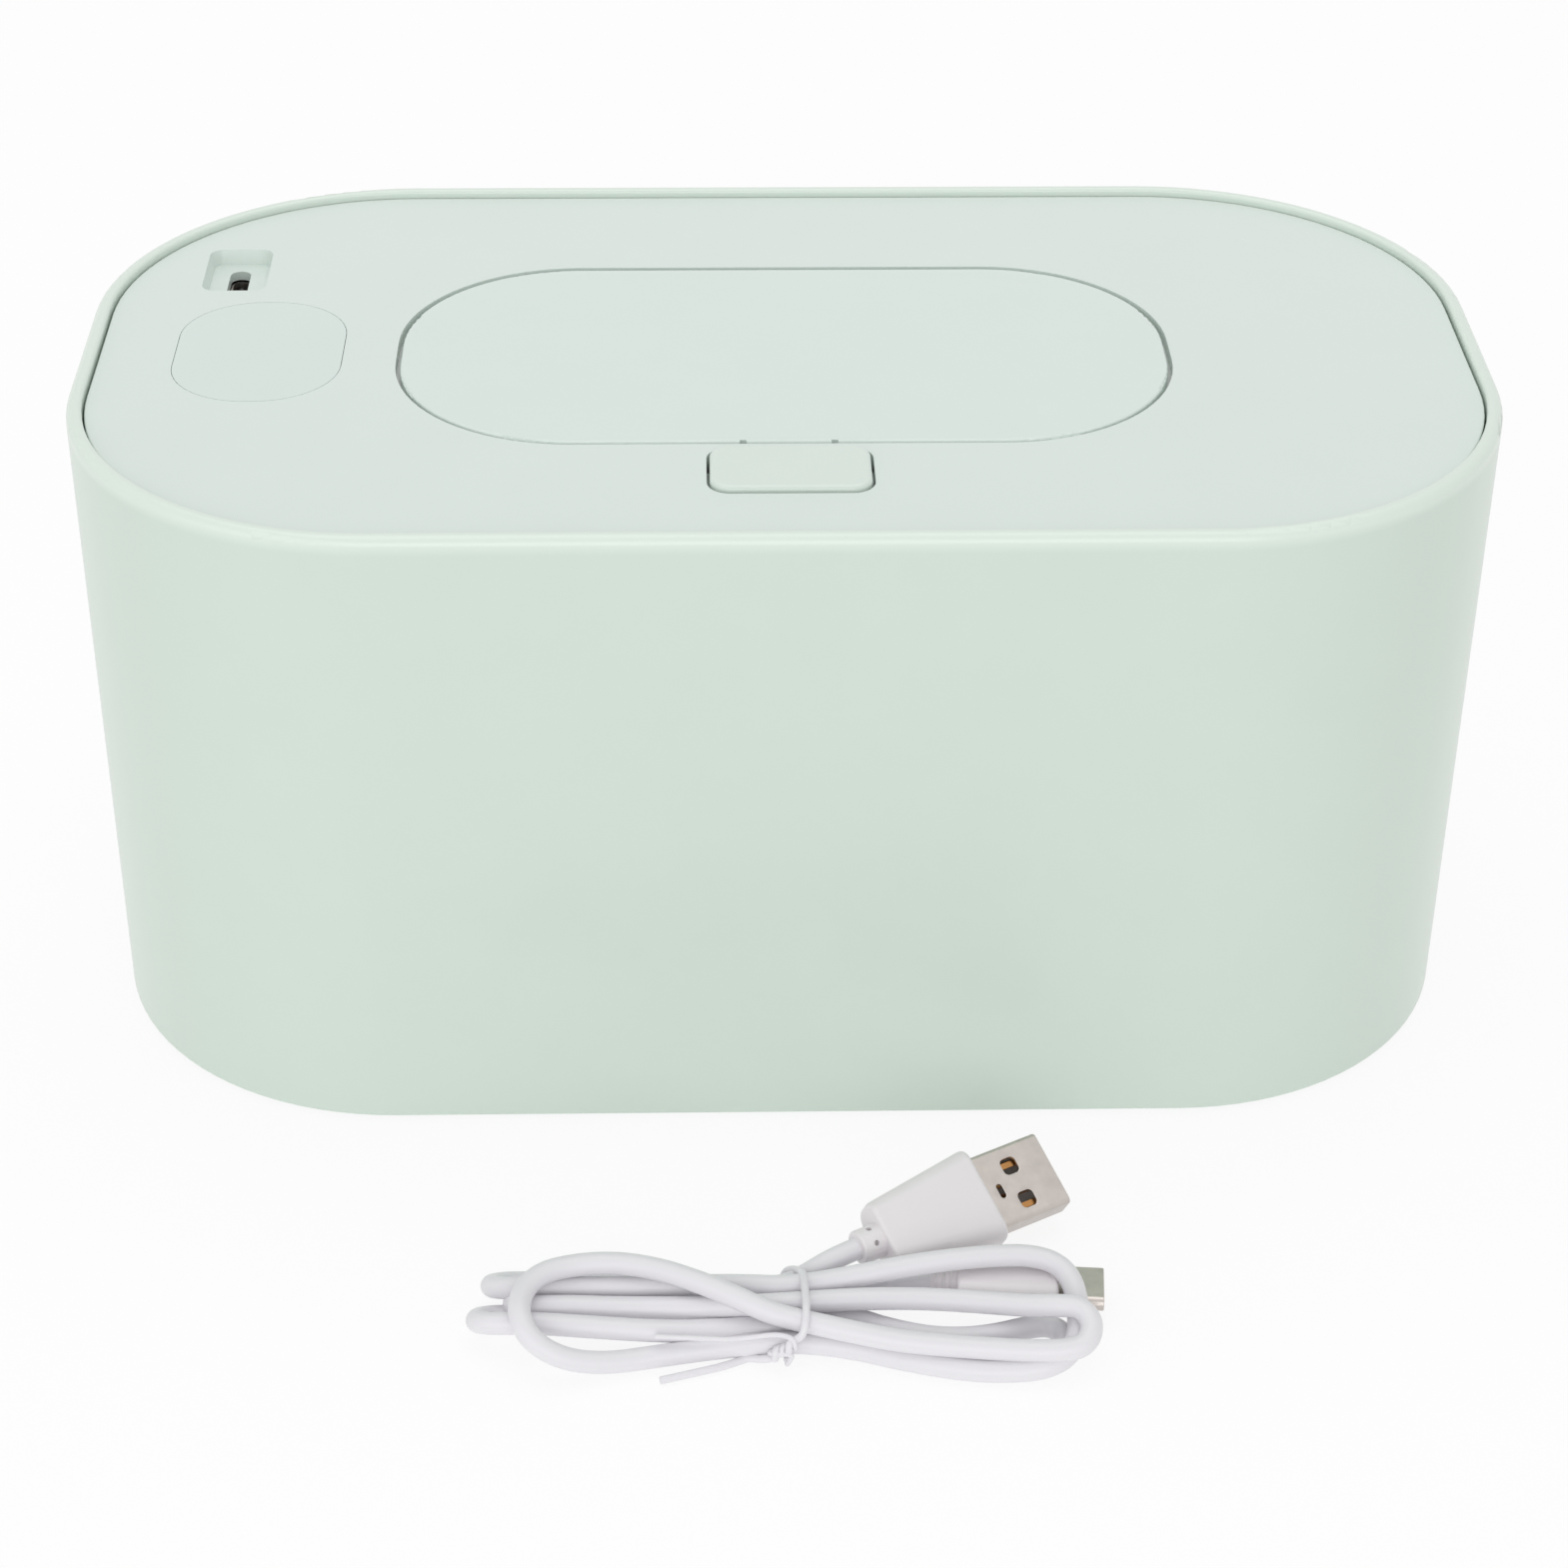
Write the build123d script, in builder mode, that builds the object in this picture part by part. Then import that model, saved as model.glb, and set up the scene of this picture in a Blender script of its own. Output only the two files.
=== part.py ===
"""Baby wipe warmer: a drafted tub, a heated lift-off cover with a sprung flip lid, and a loose USB cable.

Millimetres. +X runs along the body, +Y to its back, +Z up. The origin is under the middle of the body.
"""

import os
from math import atan2, cos, degrees, radians, sin, tan

from build123d import *

os.makedirs("parts", exist_ok=True)

# ---------------------------------------------------------------- driving dimensions

# body
body_length = 220.0
body_width = 126.0
body_height = 105.0
plan_radius = 48.4
draft_inset = 1.7
shell_wall = 2.4
shell_floor = 2.6
rim_outer_fillet = 1.4
rim_inner_fillet = 0.6
base_fillet = 0.8
foot_radius = 5.0
foot_thickness = 2.0
foot_rise = 0.6
foot_end_inset = 35.0
foot_side_inset = 27.0
fit_gap = 0.3
pocket_gap = 0.1
least_flat = 0.05

# ledge, liner and gasket
ledge_width = 4.0
ledge_thickness = 2.4
liner_wall = 1.8
liner_floor = 2.0
liner_base_gap = 3.0
flange_thickness = 2.0
gasket_thickness = 1.0
gasket_width = 3.4
gasket_setback = 1.3

# cover
panel_recess = 1.2
panel_thickness = 2.2
panel_edge_fillet = 0.3
cover_depth = 21.6
frame_wall = 1.8
frame_floor = 2.0

# flip lid and its gooseneck hinge
lid_end_inset = 49.9
lid_width = 61.8
lid_radius = 27.4
lid_gap = 0.7
lid_skin = 2.0
lid_edge_fillet = 0.5
notch_spacing = 13.8
notch_width = 1.0
notch_depth = 0.5
hinge_setback = 13.0
hinge_drop = 4.6
pin_radius = 1.0
pin_running_gap = 0.05
pin_seat_gap = 0.02
pin_end = 1.0
torsion_turns = 7
torsion_pitch = 0.8
arm_spacing = 44.0
arm_width = 4.0
arm_thickness = 2.4
arm_sweep_radius = 14.8
arm_boss_wall = 1.15
arm_slot_gap = 0.5
ear_width = 3.0
ear_gap = 0.4
ear_wall = 1.4

# dispensing well, mouth and seal
deck_drop = 6.2
deck_thickness = 1.8
deck_wall = 1.6
deck_flange_width = 4.0
deck_flange_thickness = 1.6
seat_inset = 2.0
mouth_end_inset = 18.1
mouth_width = 34.0
mouth_lip = 3.7
mouth_thickness = 1.0
mouth_slot_inset = 14.0
mouth_slot_width = 17.0
collar_wall = 1.6
collar_height = 3.8
seal_width = 3.6
throat_end_inset = 12.1
throat_width = 46.0
throat_wall = 1.6

# push button and spring catch
button_length = 24.0
button_width = 13.6
button_radius = 3.0
button_slot_gap = 0.45
button_land = 1.3
button_rise = 0.8
button_height = 4.2
button_wall = 1.4
button_roof = 1.6
button_edge_fillet = 0.7
button_travel = 1.6
button_lip = 1.2
button_lip_thickness = 1.0
post_size = 3.6
spring_spacing = 17.0
spring_radius = 1.8
spring_wire = 0.5
spring_turns = 4
shelf_length = 30.0
shelf_margin = 3.0
peg_radius = 1.0
peg_height = 1.4
hook_width = 10.0
hook_thickness = 1.4
hook_drop = 4.6
hook_nose = 1.0
hook_nose_height = 1.2
hook_setback = 3.3
catch_leaf = 1.0
catch_bite = 0.7
catch_gap = 0.2
catch_foot = 6.0
catch_foot_thickness = 1.4
catch_arm = 9.0

# heater
heater_margin = 10.0
heater_thickness = 1.5
film_thickness = 0.5
film_inset = 3.0
heater_opening_inset = 2.0
heater_radius = 16.0
heater_screw_gap = 4.0
heater_screw_y = 22.0
wire_radius = 0.7
wire_spacing = 3.2
wire_hole_setback = 8.5
wire_hole_length = 6.0
wire_hole_width = 28.0
wire_rise = 4.0
sensor_size = 3.6
sensor_height = 1.6
fuse_radius = 1.2
fuse_length = 6.0
sensor_offset = 7.4

# port, window and electronics at the left end
port_end_inset = 21.0
port_side_inset = 31.7
port_length = 16.0
port_width = 10.4
port_radius = 2.2
port_depth = 2.4
port_draft = 15.0
port_wall = 1.5
port_sink = 0.3
socket_length = 8.94
socket_width = 3.16
socket_wall = 0.3
socket_slot_gap = 0.1
socket_base = 1.6
tongue_length = 6.7
tongue_thickness = 0.7
tongue_sink = 0.7
window_end_inset = 27.6
window_y = 1.0
window_length = 35.6
window_width = 26.4
window_radius = 12.4
window_thickness = 1.2
window_gap = 0.1
display_length = 16.0
display_width = 22.0
touch_offset = 12.6
touch_radius = 2.6
board_depth = 44.0
board_edge_gap = 1.2
board_front_inset = 39.0
board_back_reach = 6.1
board_thickness = 1.6
board_lift = 5.0

# fasteners
corner_screw_end_inset = 36.0
corner_screw_side_inset = 21.0
back_screw_gap = 16.0
back_screw_side_inset = 12.0
front_screw_gap = 18.0
front_screw_side_inset = 11.0
cover_boss_radius = 3.2
cover_pad_radius = 3.8
cover_pad_height = 3.0
cover_screw_radius = 1.2
cover_screw_length = 13.0
cover_head_radius = 2.4
cover_head_height = 1.3
board_screw_end_inset = 14.0
board_screw_inner_gap = 4.0
board_screw_edge_gaps = ((6.0, 15.4), (4.0, 5.4))
small_boss_radius = 2.6
small_screw_radius = 0.9
small_head_radius = 1.9
small_head_height = 1.1
screw_gap = 0.05

# loose cable with a USB-A and a USB-C plug
cable_diameter = 3.3
hank_height = 9.4
hank_edge_fillet = 2.6
hank_corner = 3.0
tie_x = -0.6
tie_front = -120.4
tie_back = -100.6
tie_height = 8.7
tie_wire = 1.2
tie_slack = 0.5
tie_corner = 2.4
usb_a_tip = (38.6, -83.8)
usb_a_heading = 30.2
usb_a_roll = 30.0
usb_a_axis_height = 6.5
usb_a_shell_length = 12.1
usb_a_shell_width = 12.0
usb_a_shell_thickness = 4.5
usb_a_metal = 0.3
usb_a_tongue_length = 11.0
usb_a_tongue_thickness = 1.84
usb_a_window = 2.2
usb_a_window_spacing = 5.0
usb_a_window_setback = 6.2
usb_a_grip_length = 18.4
usb_a_grip_width = 15.4
usb_a_grip_thickness = 7.6
usb_a_grip_end_width = 10.8
usb_a_grip_end_thickness = 6.4
usb_a_grip_fillet = 2.4
usb_a_collar_length = 3.8
usb_a_collar_radius = 2.7
usb_c_tip = (45.0, -106.6)
usb_c_heading = -5.0
usb_c_shell_length = 6.65
usb_c_shell_width = 8.25
usb_c_shell_thickness = 2.4
usb_c_grip_length = 14.8
usb_c_grip_width = 10.6
usb_c_grip_thickness = 6.0
usb_c_relief_length = 4.0
usb_c_relief_radius = 2.5

# ---------------------------------------------------------------- levels and places worked out from them

half_length = body_length / 2
half_width = body_width / 2
draft_angle = degrees(atan2(draft_inset, body_height))
cavity_floor = foot_rise + shell_floor
panel_top = body_height - panel_recess
panel_under = panel_top - panel_thickness
frame_base = panel_under - cover_depth
frame_floor_top = frame_base + frame_floor
flange_top = frame_base - gasket_thickness
ledge_top = flange_top - flange_thickness
ledge_base = ledge_top - ledge_thickness
cover_inset = shell_wall + fit_gap
liner_inset = shell_wall + ledge_width + fit_gap
liner_base = cavity_floor + liner_base_gap
deck_floor_top = panel_under - deck_drop
deck_base = deck_floor_top - deck_thickness
lid_under = panel_top - lid_skin
lid_length = 2 * (half_length - lid_end_inset)
mouth_length = lid_length - 2 * mouth_end_inset
mouth_slot_length = mouth_length - 2 * mouth_slot_inset
throat_length = lid_length - 2 * throat_end_inset
heater_opening = (throat_length - 2 * heater_opening_inset, throat_width - 2 * heater_opening_inset)
hinge_y = lid_width / 2 + hinge_setback
hinge_z = panel_top - hinge_drop
arm_boss_radius = pin_radius + arm_boss_wall
button_y = -(lid_width / 2 + lid_gap + button_land + button_slot_gap + button_width / 2)
button_top = panel_top + button_rise
button_base = button_top - button_height
well_front = -(lid_width / 2 - seat_inset)
hook_front = -(lid_width / 2 - hook_setback)
hook_base = lid_under - hook_drop
nose_top = hook_base + hook_nose_height
catch_tooth_base = nose_top + catch_gap
catch_top = catch_tooth_base + hook_nose_height
leaf_back = well_front - deck_wall - catch_leaf - 2 * catch_gap
heater_top = frame_base - film_thickness
heater_base = heater_top - heater_thickness
board_base = frame_floor_top + board_lift
board_top = board_base + board_thickness
port_floor = panel_top - port_depth
port_base = port_floor - port_wall
socket_top = port_base - port_sink
window_base = panel_top - window_thickness
window_at = (window_end_inset - half_length, window_y)
touch_at = (window_at[0], window_y - touch_offset)
port_at = (port_end_inset - half_length, half_width - port_side_inset)
board_inner_x = board_depth - half_length
board_front_y = board_front_inset - half_width
board_back_y = port_at[1] + board_back_reach
wire_hole_x = board_inner_x + wire_hole_setback
heater_screw_x = -board_inner_x - heater_screw_gap

# fastener places worked out from them
corner_screw_x = half_length - corner_screw_end_inset
corner_screw_y = half_width - corner_screw_side_inset
back_screw_x = arm_spacing / 2 + arm_width / 2 + back_screw_gap
back_screw_y = half_width - back_screw_side_inset
front_screw_x = button_length / 2 + front_screw_gap
front_screw_y = half_width - front_screw_side_inset
cover_screws_at = [(side * x, y) for side in (-1, 1)
                   for x, y in ((corner_screw_x, corner_screw_y), (corner_screw_x, -corner_screw_y),
                                (back_screw_x, back_screw_y), (front_screw_x, -front_screw_y))]
board_screws_at = [(x, y) for x, (front_gap, back_gap) in
                   zip((board_screw_end_inset - half_length, board_inner_x - board_screw_inner_gap),
                       board_screw_edge_gaps)
                   for y in (board_front_y + front_gap, board_back_y - back_gap)]
heater_screws_at = [(x * heater_screw_x, y * heater_screw_y) for x in (-1, 1) for y in (-1, 1)]
foot_places = [(x * (half_length - foot_end_inset), y * (half_width - foot_side_inset))
               for x in (-1, 1) for y in (-1, 1)]


def plan_at(height, inset):
    """Length, width and corner radius of the body's plan at a height, moved in by an inset."""
    lean = draft_inset * (1 - height / body_height) + inset
    return body_length - 2 * lean, body_width - 2 * lean, plan_radius - lean


def body_block(low, high, inset, mode=Mode.ADD):
    """A drafted block of the body's plan between two heights."""
    with BuildSketch(Plane.XY.offset(low)) as outline:
        RectangleRounded(*plan_at(low, inset))
    extrude(outline.sketch, amount=high - low, taper=-draft_angle, mode=mode)


def rounded_block(low, high, size, radius, centre=(0, 0), mode=Mode.ADD):
    """A straight block with a rounded rectangular plan between two heights; its ends may be fully round."""
    with BuildSketch(Plane.XY.offset(low)) as outline:
        with Locations(centre):
            RectangleRounded(*size, min(radius, min(size) / 2 - least_flat))
    extrude(outline.sketch, amount=high - low, mode=mode)


def plain_block(low, high, x_range, y_range, mode=Mode.ADD):
    """A straight block between two corners."""
    size = (x_range[1] - x_range[0], y_range[1] - y_range[0])
    with BuildSketch(Plane.XY.offset(low)) as outline:
        with Locations(((x_range[0] + x_range[1]) / 2, (y_range[0] + y_range[1]) / 2)):
            Rectangle(*size)
    extrude(outline.sketch, amount=high - low, mode=mode)


def round_posts(low, high, radius, places, mode=Mode.ADD):
    """Upright round posts, or holes, at a list of places."""
    with BuildSketch(Plane.XY.offset(low)) as outline:
        with Locations(*places):
            Circle(radius)
    extrude(outline.sketch, amount=high - low, mode=mode)


def finish(builder, name):
    """Label a finished sub-part and write its file."""
    builder.part.label = name
    export_step(builder.part, f"parts/{name}.step")


# ---------------------------------------------------------------- tub

with BuildPart() as outer_shell:
    body_block(foot_rise, body_height, 0)
    body_block(cavity_floor, ledge_base, shell_wall, Mode.SUBTRACT)
    body_block(ledge_base, ledge_top, shell_wall + ledge_width, Mode.SUBTRACT)
    body_block(ledge_top, body_height, shell_wall, Mode.SUBTRACT)
    fillet(outer_shell.faces().sort_by(Axis.Z)[-1].outer_wire().edges(), rim_outer_fillet)
    fillet(outer_shell.faces().sort_by(Axis.Z)[-1].inner_wires()[0].edges(), rim_inner_fillet)
    fillet(outer_shell.faces().sort_by(Axis.Z)[0].outer_wire().edges(), base_fillet)
    round_posts(foot_rise, foot_thickness, foot_radius + pocket_gap, foot_places, Mode.SUBTRACT)
finish(outer_shell, "outer_shell")

with BuildPart() as rubber_feet:
    round_posts(0, foot_thickness, foot_radius, foot_places)
    chamfer(rubber_feet.edges().group_by(Axis.Z)[0], foot_rise / 2)
finish(rubber_feet, "rubber_feet")

with BuildPart() as inner_liner:
    body_block(liner_base, ledge_top, liner_inset)
    body_block(ledge_top, flange_top, cover_inset)
    body_block(liner_base + liner_floor, flange_top, liner_inset + liner_wall, Mode.SUBTRACT)
    fillet(inner_liner.faces().sort_by(Axis.Z)[0].outer_wire().edges(), liner_wall)
finish(inner_liner, "inner_liner")

# ---------------------------------------------------------------- cover: panel, deck, frame and seals

lid_opening = (lid_length + 2 * lid_gap, lid_width + 2 * lid_gap)
ear_middle = arm_width / 2 + ear_gap + ear_width / 2
ear_places = [side * arm_spacing / 2 + end * ear_middle for side in (-1, 1) for end in (-1, 1)]
pin_half_length = arm_spacing / 2 + arm_width / 2 + ear_gap + ear_width + pin_end
ear_radius = pin_radius + ear_wall

with BuildPart() as top_panel:
    body_block(panel_under, panel_top, cover_inset)
    fillet(top_panel.faces().sort_by(Axis.Z)[-1].outer_wire().edges(), panel_edge_fillet)
    rounded_block(port_base, panel_under, (port_width + 2 * port_wall, port_length + 2 * port_wall),
                  port_radius + port_wall, port_at)
    round_posts(frame_floor_top + cover_pad_height, panel_under, cover_boss_radius, cover_screws_at)
    for ear_x in ear_places:
        with BuildSketch(Plane.YZ.offset(ear_x - ear_width / 2)):
            with Locations((hinge_y, hinge_z)):
                Circle(ear_radius)
            with Locations((hinge_y, (hinge_z + panel_under) / 2)):
                Rectangle(2 * ear_radius, panel_under - hinge_z)
        extrude(amount=ear_width)
    # openings for the lid, the button, the window and its display, and the touch spring
    rounded_block(panel_under, panel_top, lid_opening, lid_radius + lid_gap, mode=Mode.SUBTRACT)
    rounded_block(panel_under, panel_top,
                  (button_length + 2 * button_slot_gap, button_width + 2 * button_slot_gap),
                  button_radius + button_slot_gap, (0, button_y), Mode.SUBTRACT)
    rounded_block(window_base, panel_top, (window_width, window_length), window_radius, window_at,
                  Mode.SUBTRACT)
    rounded_block(panel_under, window_base, (display_width, display_length), port_radius, window_at,
                  Mode.SUBTRACT)
    round_posts(panel_under, window_base, touch_radius + fit_gap, [touch_at],
                Mode.SUBTRACT)
    # sunken port with sloping walls, and the slot over the socket
    with BuildSketch(Plane.XY.offset(panel_top)) as port_mouth:
        with Locations(port_at):
            RectangleRounded(port_width, port_length, port_radius)
    extrude(port_mouth.sketch, amount=-port_depth, taper=port_draft, mode=Mode.SUBTRACT)
    with BuildSketch(Plane.XY.offset(port_base)) as port_slot:
        with Locations(Location(port_at, 90)):
            SlotOverall(socket_length + 2 * socket_slot_gap, socket_width + 2 * socket_slot_gap)
    extrude(port_slot.sketch, amount=port_wall, mode=Mode.SUBTRACT)
    # hinge pin bores and screw pilots
    with BuildSketch(Plane.YZ.offset(-pin_half_length)) as pin_bore:
        with Locations((hinge_y, hinge_z)):
            Circle(pin_radius + pin_seat_gap)
    extrude(pin_bore.sketch, amount=2 * pin_half_length, mode=Mode.SUBTRACT)
    round_posts(frame_floor_top, frame_base + cover_head_height + cover_screw_length + fit_gap,
                cover_screw_radius + screw_gap, cover_screws_at, Mode.SUBTRACT)
finish(top_panel, "top_panel")

with BuildPart() as display_window:
    rounded_block(window_base, panel_top, (window_width - 2 * window_gap, window_length - 2 * window_gap),
                  window_radius - window_gap, window_at)
finish(display_window, "display_window")

well_size = (lid_length - 2 * seat_inset, lid_width - 2 * seat_inset)
well_radius = lid_radius - seat_inset
flange_grow = lid_gap + deck_flange_width
collar_size = (mouth_length + 2 * mouth_lip + 2 * fit_gap, mouth_width + 2 * mouth_lip + 2 * fit_gap)
slot_front = hinge_y - arm_sweep_radius - arm_thickness / 2 - arm_slot_gap
deck_back = lid_width / 2 + flange_grow
button_back = button_y + button_width / 2
button_front = button_y - button_width / 2
lip_reach = button_length / 2 + button_lip
shelf_front = button_front - shelf_margin
spring_places = [(side * spring_spacing / 2, button_y) for side in (-1, 1)]

with BuildPart() as dispenser_deck:
    flange_size = (lid_length + 2 * flange_grow, lid_width + 2 * flange_grow)
    rounded_block(panel_under - deck_flange_thickness, panel_under, flange_size, lid_radius + flange_grow)
    rounded_block(deck_base, panel_under, (well_size[0] + 2 * deck_wall, well_size[1] + 2 * deck_wall),
                  well_radius + deck_wall)
    plain_block(deck_base, deck_floor_top, (-shelf_length / 2, shelf_length / 2), (shelf_front, well_front))
    rounded_block(deck_floor_top, panel_under, well_size, well_radius, mode=Mode.SUBTRACT)
    # raised collar that the lid's seal closes on, then the mouth through the floor
    rounded_block(deck_floor_top, deck_floor_top + collar_height,
                  (collar_size[0] + 2 * collar_wall, collar_size[1] + 2 * collar_wall),
                  collar_size[1] / 2 + collar_wall)
    rounded_block(deck_floor_top, deck_floor_top + collar_height, collar_size, collar_size[1] / 2,
                  mode=Mode.SUBTRACT)
    rounded_block(deck_base, deck_floor_top, (mouth_length, mouth_width), mouth_width / 2,
                  mode=Mode.SUBTRACT)
    # room for the button's lip, the catch and the two hinge arms
    plain_block(deck_floor_top, panel_under, (-lip_reach - fit_gap, lip_reach + fit_gap),
                (shelf_front, well_front - deck_wall), Mode.SUBTRACT)
    plain_block(hook_base - fit_gap, panel_under, (-hook_width / 2 - fit_gap, hook_width / 2 + fit_gap),
                (well_front - 2 * deck_wall, well_front + deck_wall), Mode.SUBTRACT)
    for side in (-1, 1):
        arm_x = side * arm_spacing / 2
        half_slot = arm_width / 2 + arm_slot_gap
        plain_block(deck_base, panel_under, (arm_x - half_slot, arm_x + half_slot), (slot_front, deck_back),
                    Mode.SUBTRACT)
    round_posts(deck_floor_top, deck_floor_top + peg_height, peg_radius, spring_places)
finish(dispenser_deck, "dispenser_deck")

with BuildPart() as dispensing_mouth:
    lip_size = (mouth_length + 2 * mouth_lip, mouth_width + 2 * mouth_lip)
    rounded_block(deck_floor_top, deck_floor_top + mouth_thickness, lip_size, mouth_width / 2 + mouth_lip)
    rounded_block(deck_floor_top, deck_floor_top + mouth_thickness, (mouth_slot_length, mouth_slot_width),
                  mouth_slot_width / 2, mode=Mode.SUBTRACT)
    fillet(dispensing_mouth.faces().sort_by(Axis.Z)[-1].inner_wires()[0].edges(), mouth_thickness / 2)
finish(dispensing_mouth, "dispensing_mouth")

with BuildPart() as cover_frame:
    body_block(frame_base, panel_under, cover_inset)
    body_block(frame_floor_top, panel_under, cover_inset + frame_wall, Mode.SUBTRACT)
    rounded_block(frame_floor_top, deck_base,
                  (throat_length + 2 * throat_wall, throat_width + 2 * throat_wall),
                  throat_width / 2 + throat_wall)
    rounded_block(frame_base, deck_base, (throat_length, throat_width), throat_width / 2, mode=Mode.SUBTRACT)
    round_posts(frame_floor_top, frame_floor_top + cover_pad_height, cover_pad_radius, cover_screws_at)
    round_posts(frame_floor_top, board_base, small_boss_radius, [*board_screws_at, *heater_screws_at])
    plain_block(frame_base, frame_floor_top,
                (wire_hole_x - wire_hole_length / 2, wire_hole_x + wire_hole_length / 2),
                (-wire_hole_width / 2, wire_hole_width / 2), Mode.SUBTRACT)
    round_posts(frame_base, frame_floor_top + cover_pad_height, cover_screw_radius + screw_gap,
                cover_screws_at, Mode.SUBTRACT)
    round_posts(frame_base, frame_base + cover_head_height + pocket_gap, cover_head_radius + pocket_gap,
                cover_screws_at, Mode.SUBTRACT)
    round_posts(frame_base, board_base, small_screw_radius + screw_gap,
                [*board_screws_at, *heater_screws_at], Mode.SUBTRACT)
finish(cover_frame, "cover_frame")

with BuildPart() as cover_gasket:
    body_block(flange_top, frame_base, cover_inset + gasket_setback)
    body_block(flange_top, frame_base, cover_inset + gasket_setback + gasket_width, Mode.SUBTRACT)
finish(cover_gasket, "cover_gasket")

with BuildPart() as cover_screws:
    head_top = frame_base + cover_head_height
    round_posts(frame_base, head_top, cover_head_radius, cover_screws_at)
    fillet(cover_screws.edges().group_by(Axis.Z)[0], cover_head_height / 3)
    round_posts(head_top, head_top + cover_screw_length, cover_screw_radius, cover_screws_at)
finish(cover_screws, "cover_screws")

# ---------------------------------------------------------------- heater under the cover

heater_size = plan_at(heater_base, heater_margin)

with BuildPart() as heater_plate:
    rounded_block(heater_base, heater_top, heater_size[:2], heater_size[2])
    rounded_block(heater_base, heater_top, heater_opening, heater_radius, mode=Mode.SUBTRACT)
    round_posts(heater_base, heater_top, small_screw_radius + screw_gap, heater_screws_at, Mode.SUBTRACT)
    fillet(heater_plate.faces().sort_by(Axis.Z)[0].edges(), heater_thickness / 4)
finish(heater_plate, "heater_plate")

with BuildPart() as heating_film:
    film_size = (heater_size[0] - 2 * film_inset, heater_size[1] - 2 * film_inset)
    film_opening = (heater_opening[0] + 2 * film_inset, heater_opening[1] + 2 * film_inset)
    rounded_block(heater_top, frame_base, film_size, heater_size[2] - film_inset)
    rounded_block(heater_top, frame_base, film_opening, heater_radius + film_inset, mode=Mode.SUBTRACT)
    round_posts(heater_top, frame_base, small_screw_radius + screw_gap, heater_screws_at, Mode.SUBTRACT)
finish(heating_film, "heating_film")

with BuildPart() as heater_screws:
    round_posts(heater_base - small_head_height, heater_base, small_head_radius, heater_screws_at)
    fillet(heater_screws.edges().group_by(Axis.Z)[0], small_head_height / 2)
    round_posts(heater_base, board_base - fit_gap, small_screw_radius, heater_screws_at)
finish(heater_screws, "heater_screws")

with BuildPart() as temperature_sensor:
    rounded_block(frame_base, frame_base + sensor_height, (sensor_size, sensor_size), sensor_size / 3,
                  (wire_hole_x, sensor_offset))
finish(temperature_sensor, "temperature_sensor")

with BuildPart() as thermal_fuse:
    with BuildSketch(Plane.XZ.offset(sensor_offset - fuse_length / 2)):
        with Locations((wire_hole_x, frame_base + fuse_radius)):
            Circle(fuse_radius)
    extrude(amount=fuse_length)
finish(thermal_fuse, "thermal_fuse")

with BuildPart() as heater_wires:
    wire_start_x = board_inner_x - 2 * wire_radius
    for side in (-1, 1):
        wire_y = side * wire_spacing / 2
        with BuildLine() as wire_path:
            FilletPolyline((wire_start_x, wire_y, board_top), (wire_start_x, wire_y, board_top + wire_rise),
                           (wire_hole_x, wire_y, board_top + wire_rise), (wire_hole_x, wire_y, frame_base),
                           radius=wire_rise / 2)
        with BuildSketch(Plane(wire_path.wire() @ 0, z_dir=wire_path.wire() % 0)):
            Circle(wire_radius)
        sweep(path=wire_path.wire())
finish(heater_wires, "heater_wires")

# ---------------------------------------------------------------- electronics under the window

with BuildPart() as control_board:
    with BuildSketch(Plane.XY.offset(board_base)):
        RectangleRounded(*plan_at(board_base, cover_inset + frame_wall + board_edge_gap))
        with Locations((board_inner_x - half_length / 2, (board_front_y + board_back_y) / 2)):
            Rectangle(half_length, board_back_y - board_front_y, mode=Mode.INTERSECT)
    extrude(amount=board_thickness)
    round_posts(board_base, board_top, small_screw_radius + screw_gap, board_screws_at, Mode.SUBTRACT)
finish(control_board, "control_board")

with BuildPart() as board_screws:
    round_posts(frame_floor_top + fit_gap, board_top, small_screw_radius, board_screws_at)
    round_posts(board_top, board_top + small_head_height, small_head_radius, board_screws_at)
    fillet(board_screws.edges().group_by(Axis.Z)[-1], small_head_height / 2)
finish(board_screws, "board_screws")

with BuildPart() as display_module:
    display_top = panel_under - fit_gap
    rounded_block(board_top, display_top, (display_width, display_length), port_radius, window_at)
    rounded_block(display_top - port_wall, display_top,
                  (display_width - 2 * port_wall, display_length - 2 * port_wall), port_wall, window_at,
                  Mode.SUBTRACT)
finish(display_module, "display_module")


def coil_spring(base, height, radius, turns, place):
    """A closed round-wire compression spring standing at a place; its wire is cut flush at both ends."""
    travel = height - spring_wire
    with BuildLine(Plane.XY.offset(base + spring_wire / 2)) as coil:
        Helix(pitch=travel / turns, height=travel, radius=radius, center=(*place, 0))
    with BuildSketch(Plane(coil.wire() @ 0, z_dir=coil.wire() % 0)) as wire_section:
        Circle(spring_wire / 2)
    sweep(wire_section.sketch, path=coil.wire(), is_frenet=True)


with BuildPart() as touch_spring:
    coil_spring(board_top, window_base - board_top, touch_radius - spring_wire / 2, spring_turns + 2,
                touch_at)
finish(touch_spring, "touch_spring")

with BuildPart() as usb_socket:
    with BuildSketch(Plane.XY.offset(board_top)) as socket_outside:
        with Locations(Location(port_at, 90)):
            SlotOverall(socket_length, socket_width)
    extrude(socket_outside.sketch, amount=socket_top - board_top)
    with BuildSketch(Plane.XY.offset(board_top + socket_base)) as socket_inside:
        with Locations(Location(port_at, 90)):
            SlotOverall(socket_length - 2 * socket_wall, socket_width - 2 * socket_wall)
    extrude(socket_inside.sketch, amount=socket_top - board_top - socket_base, mode=Mode.SUBTRACT)
finish(usb_socket, "usb_socket")

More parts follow.
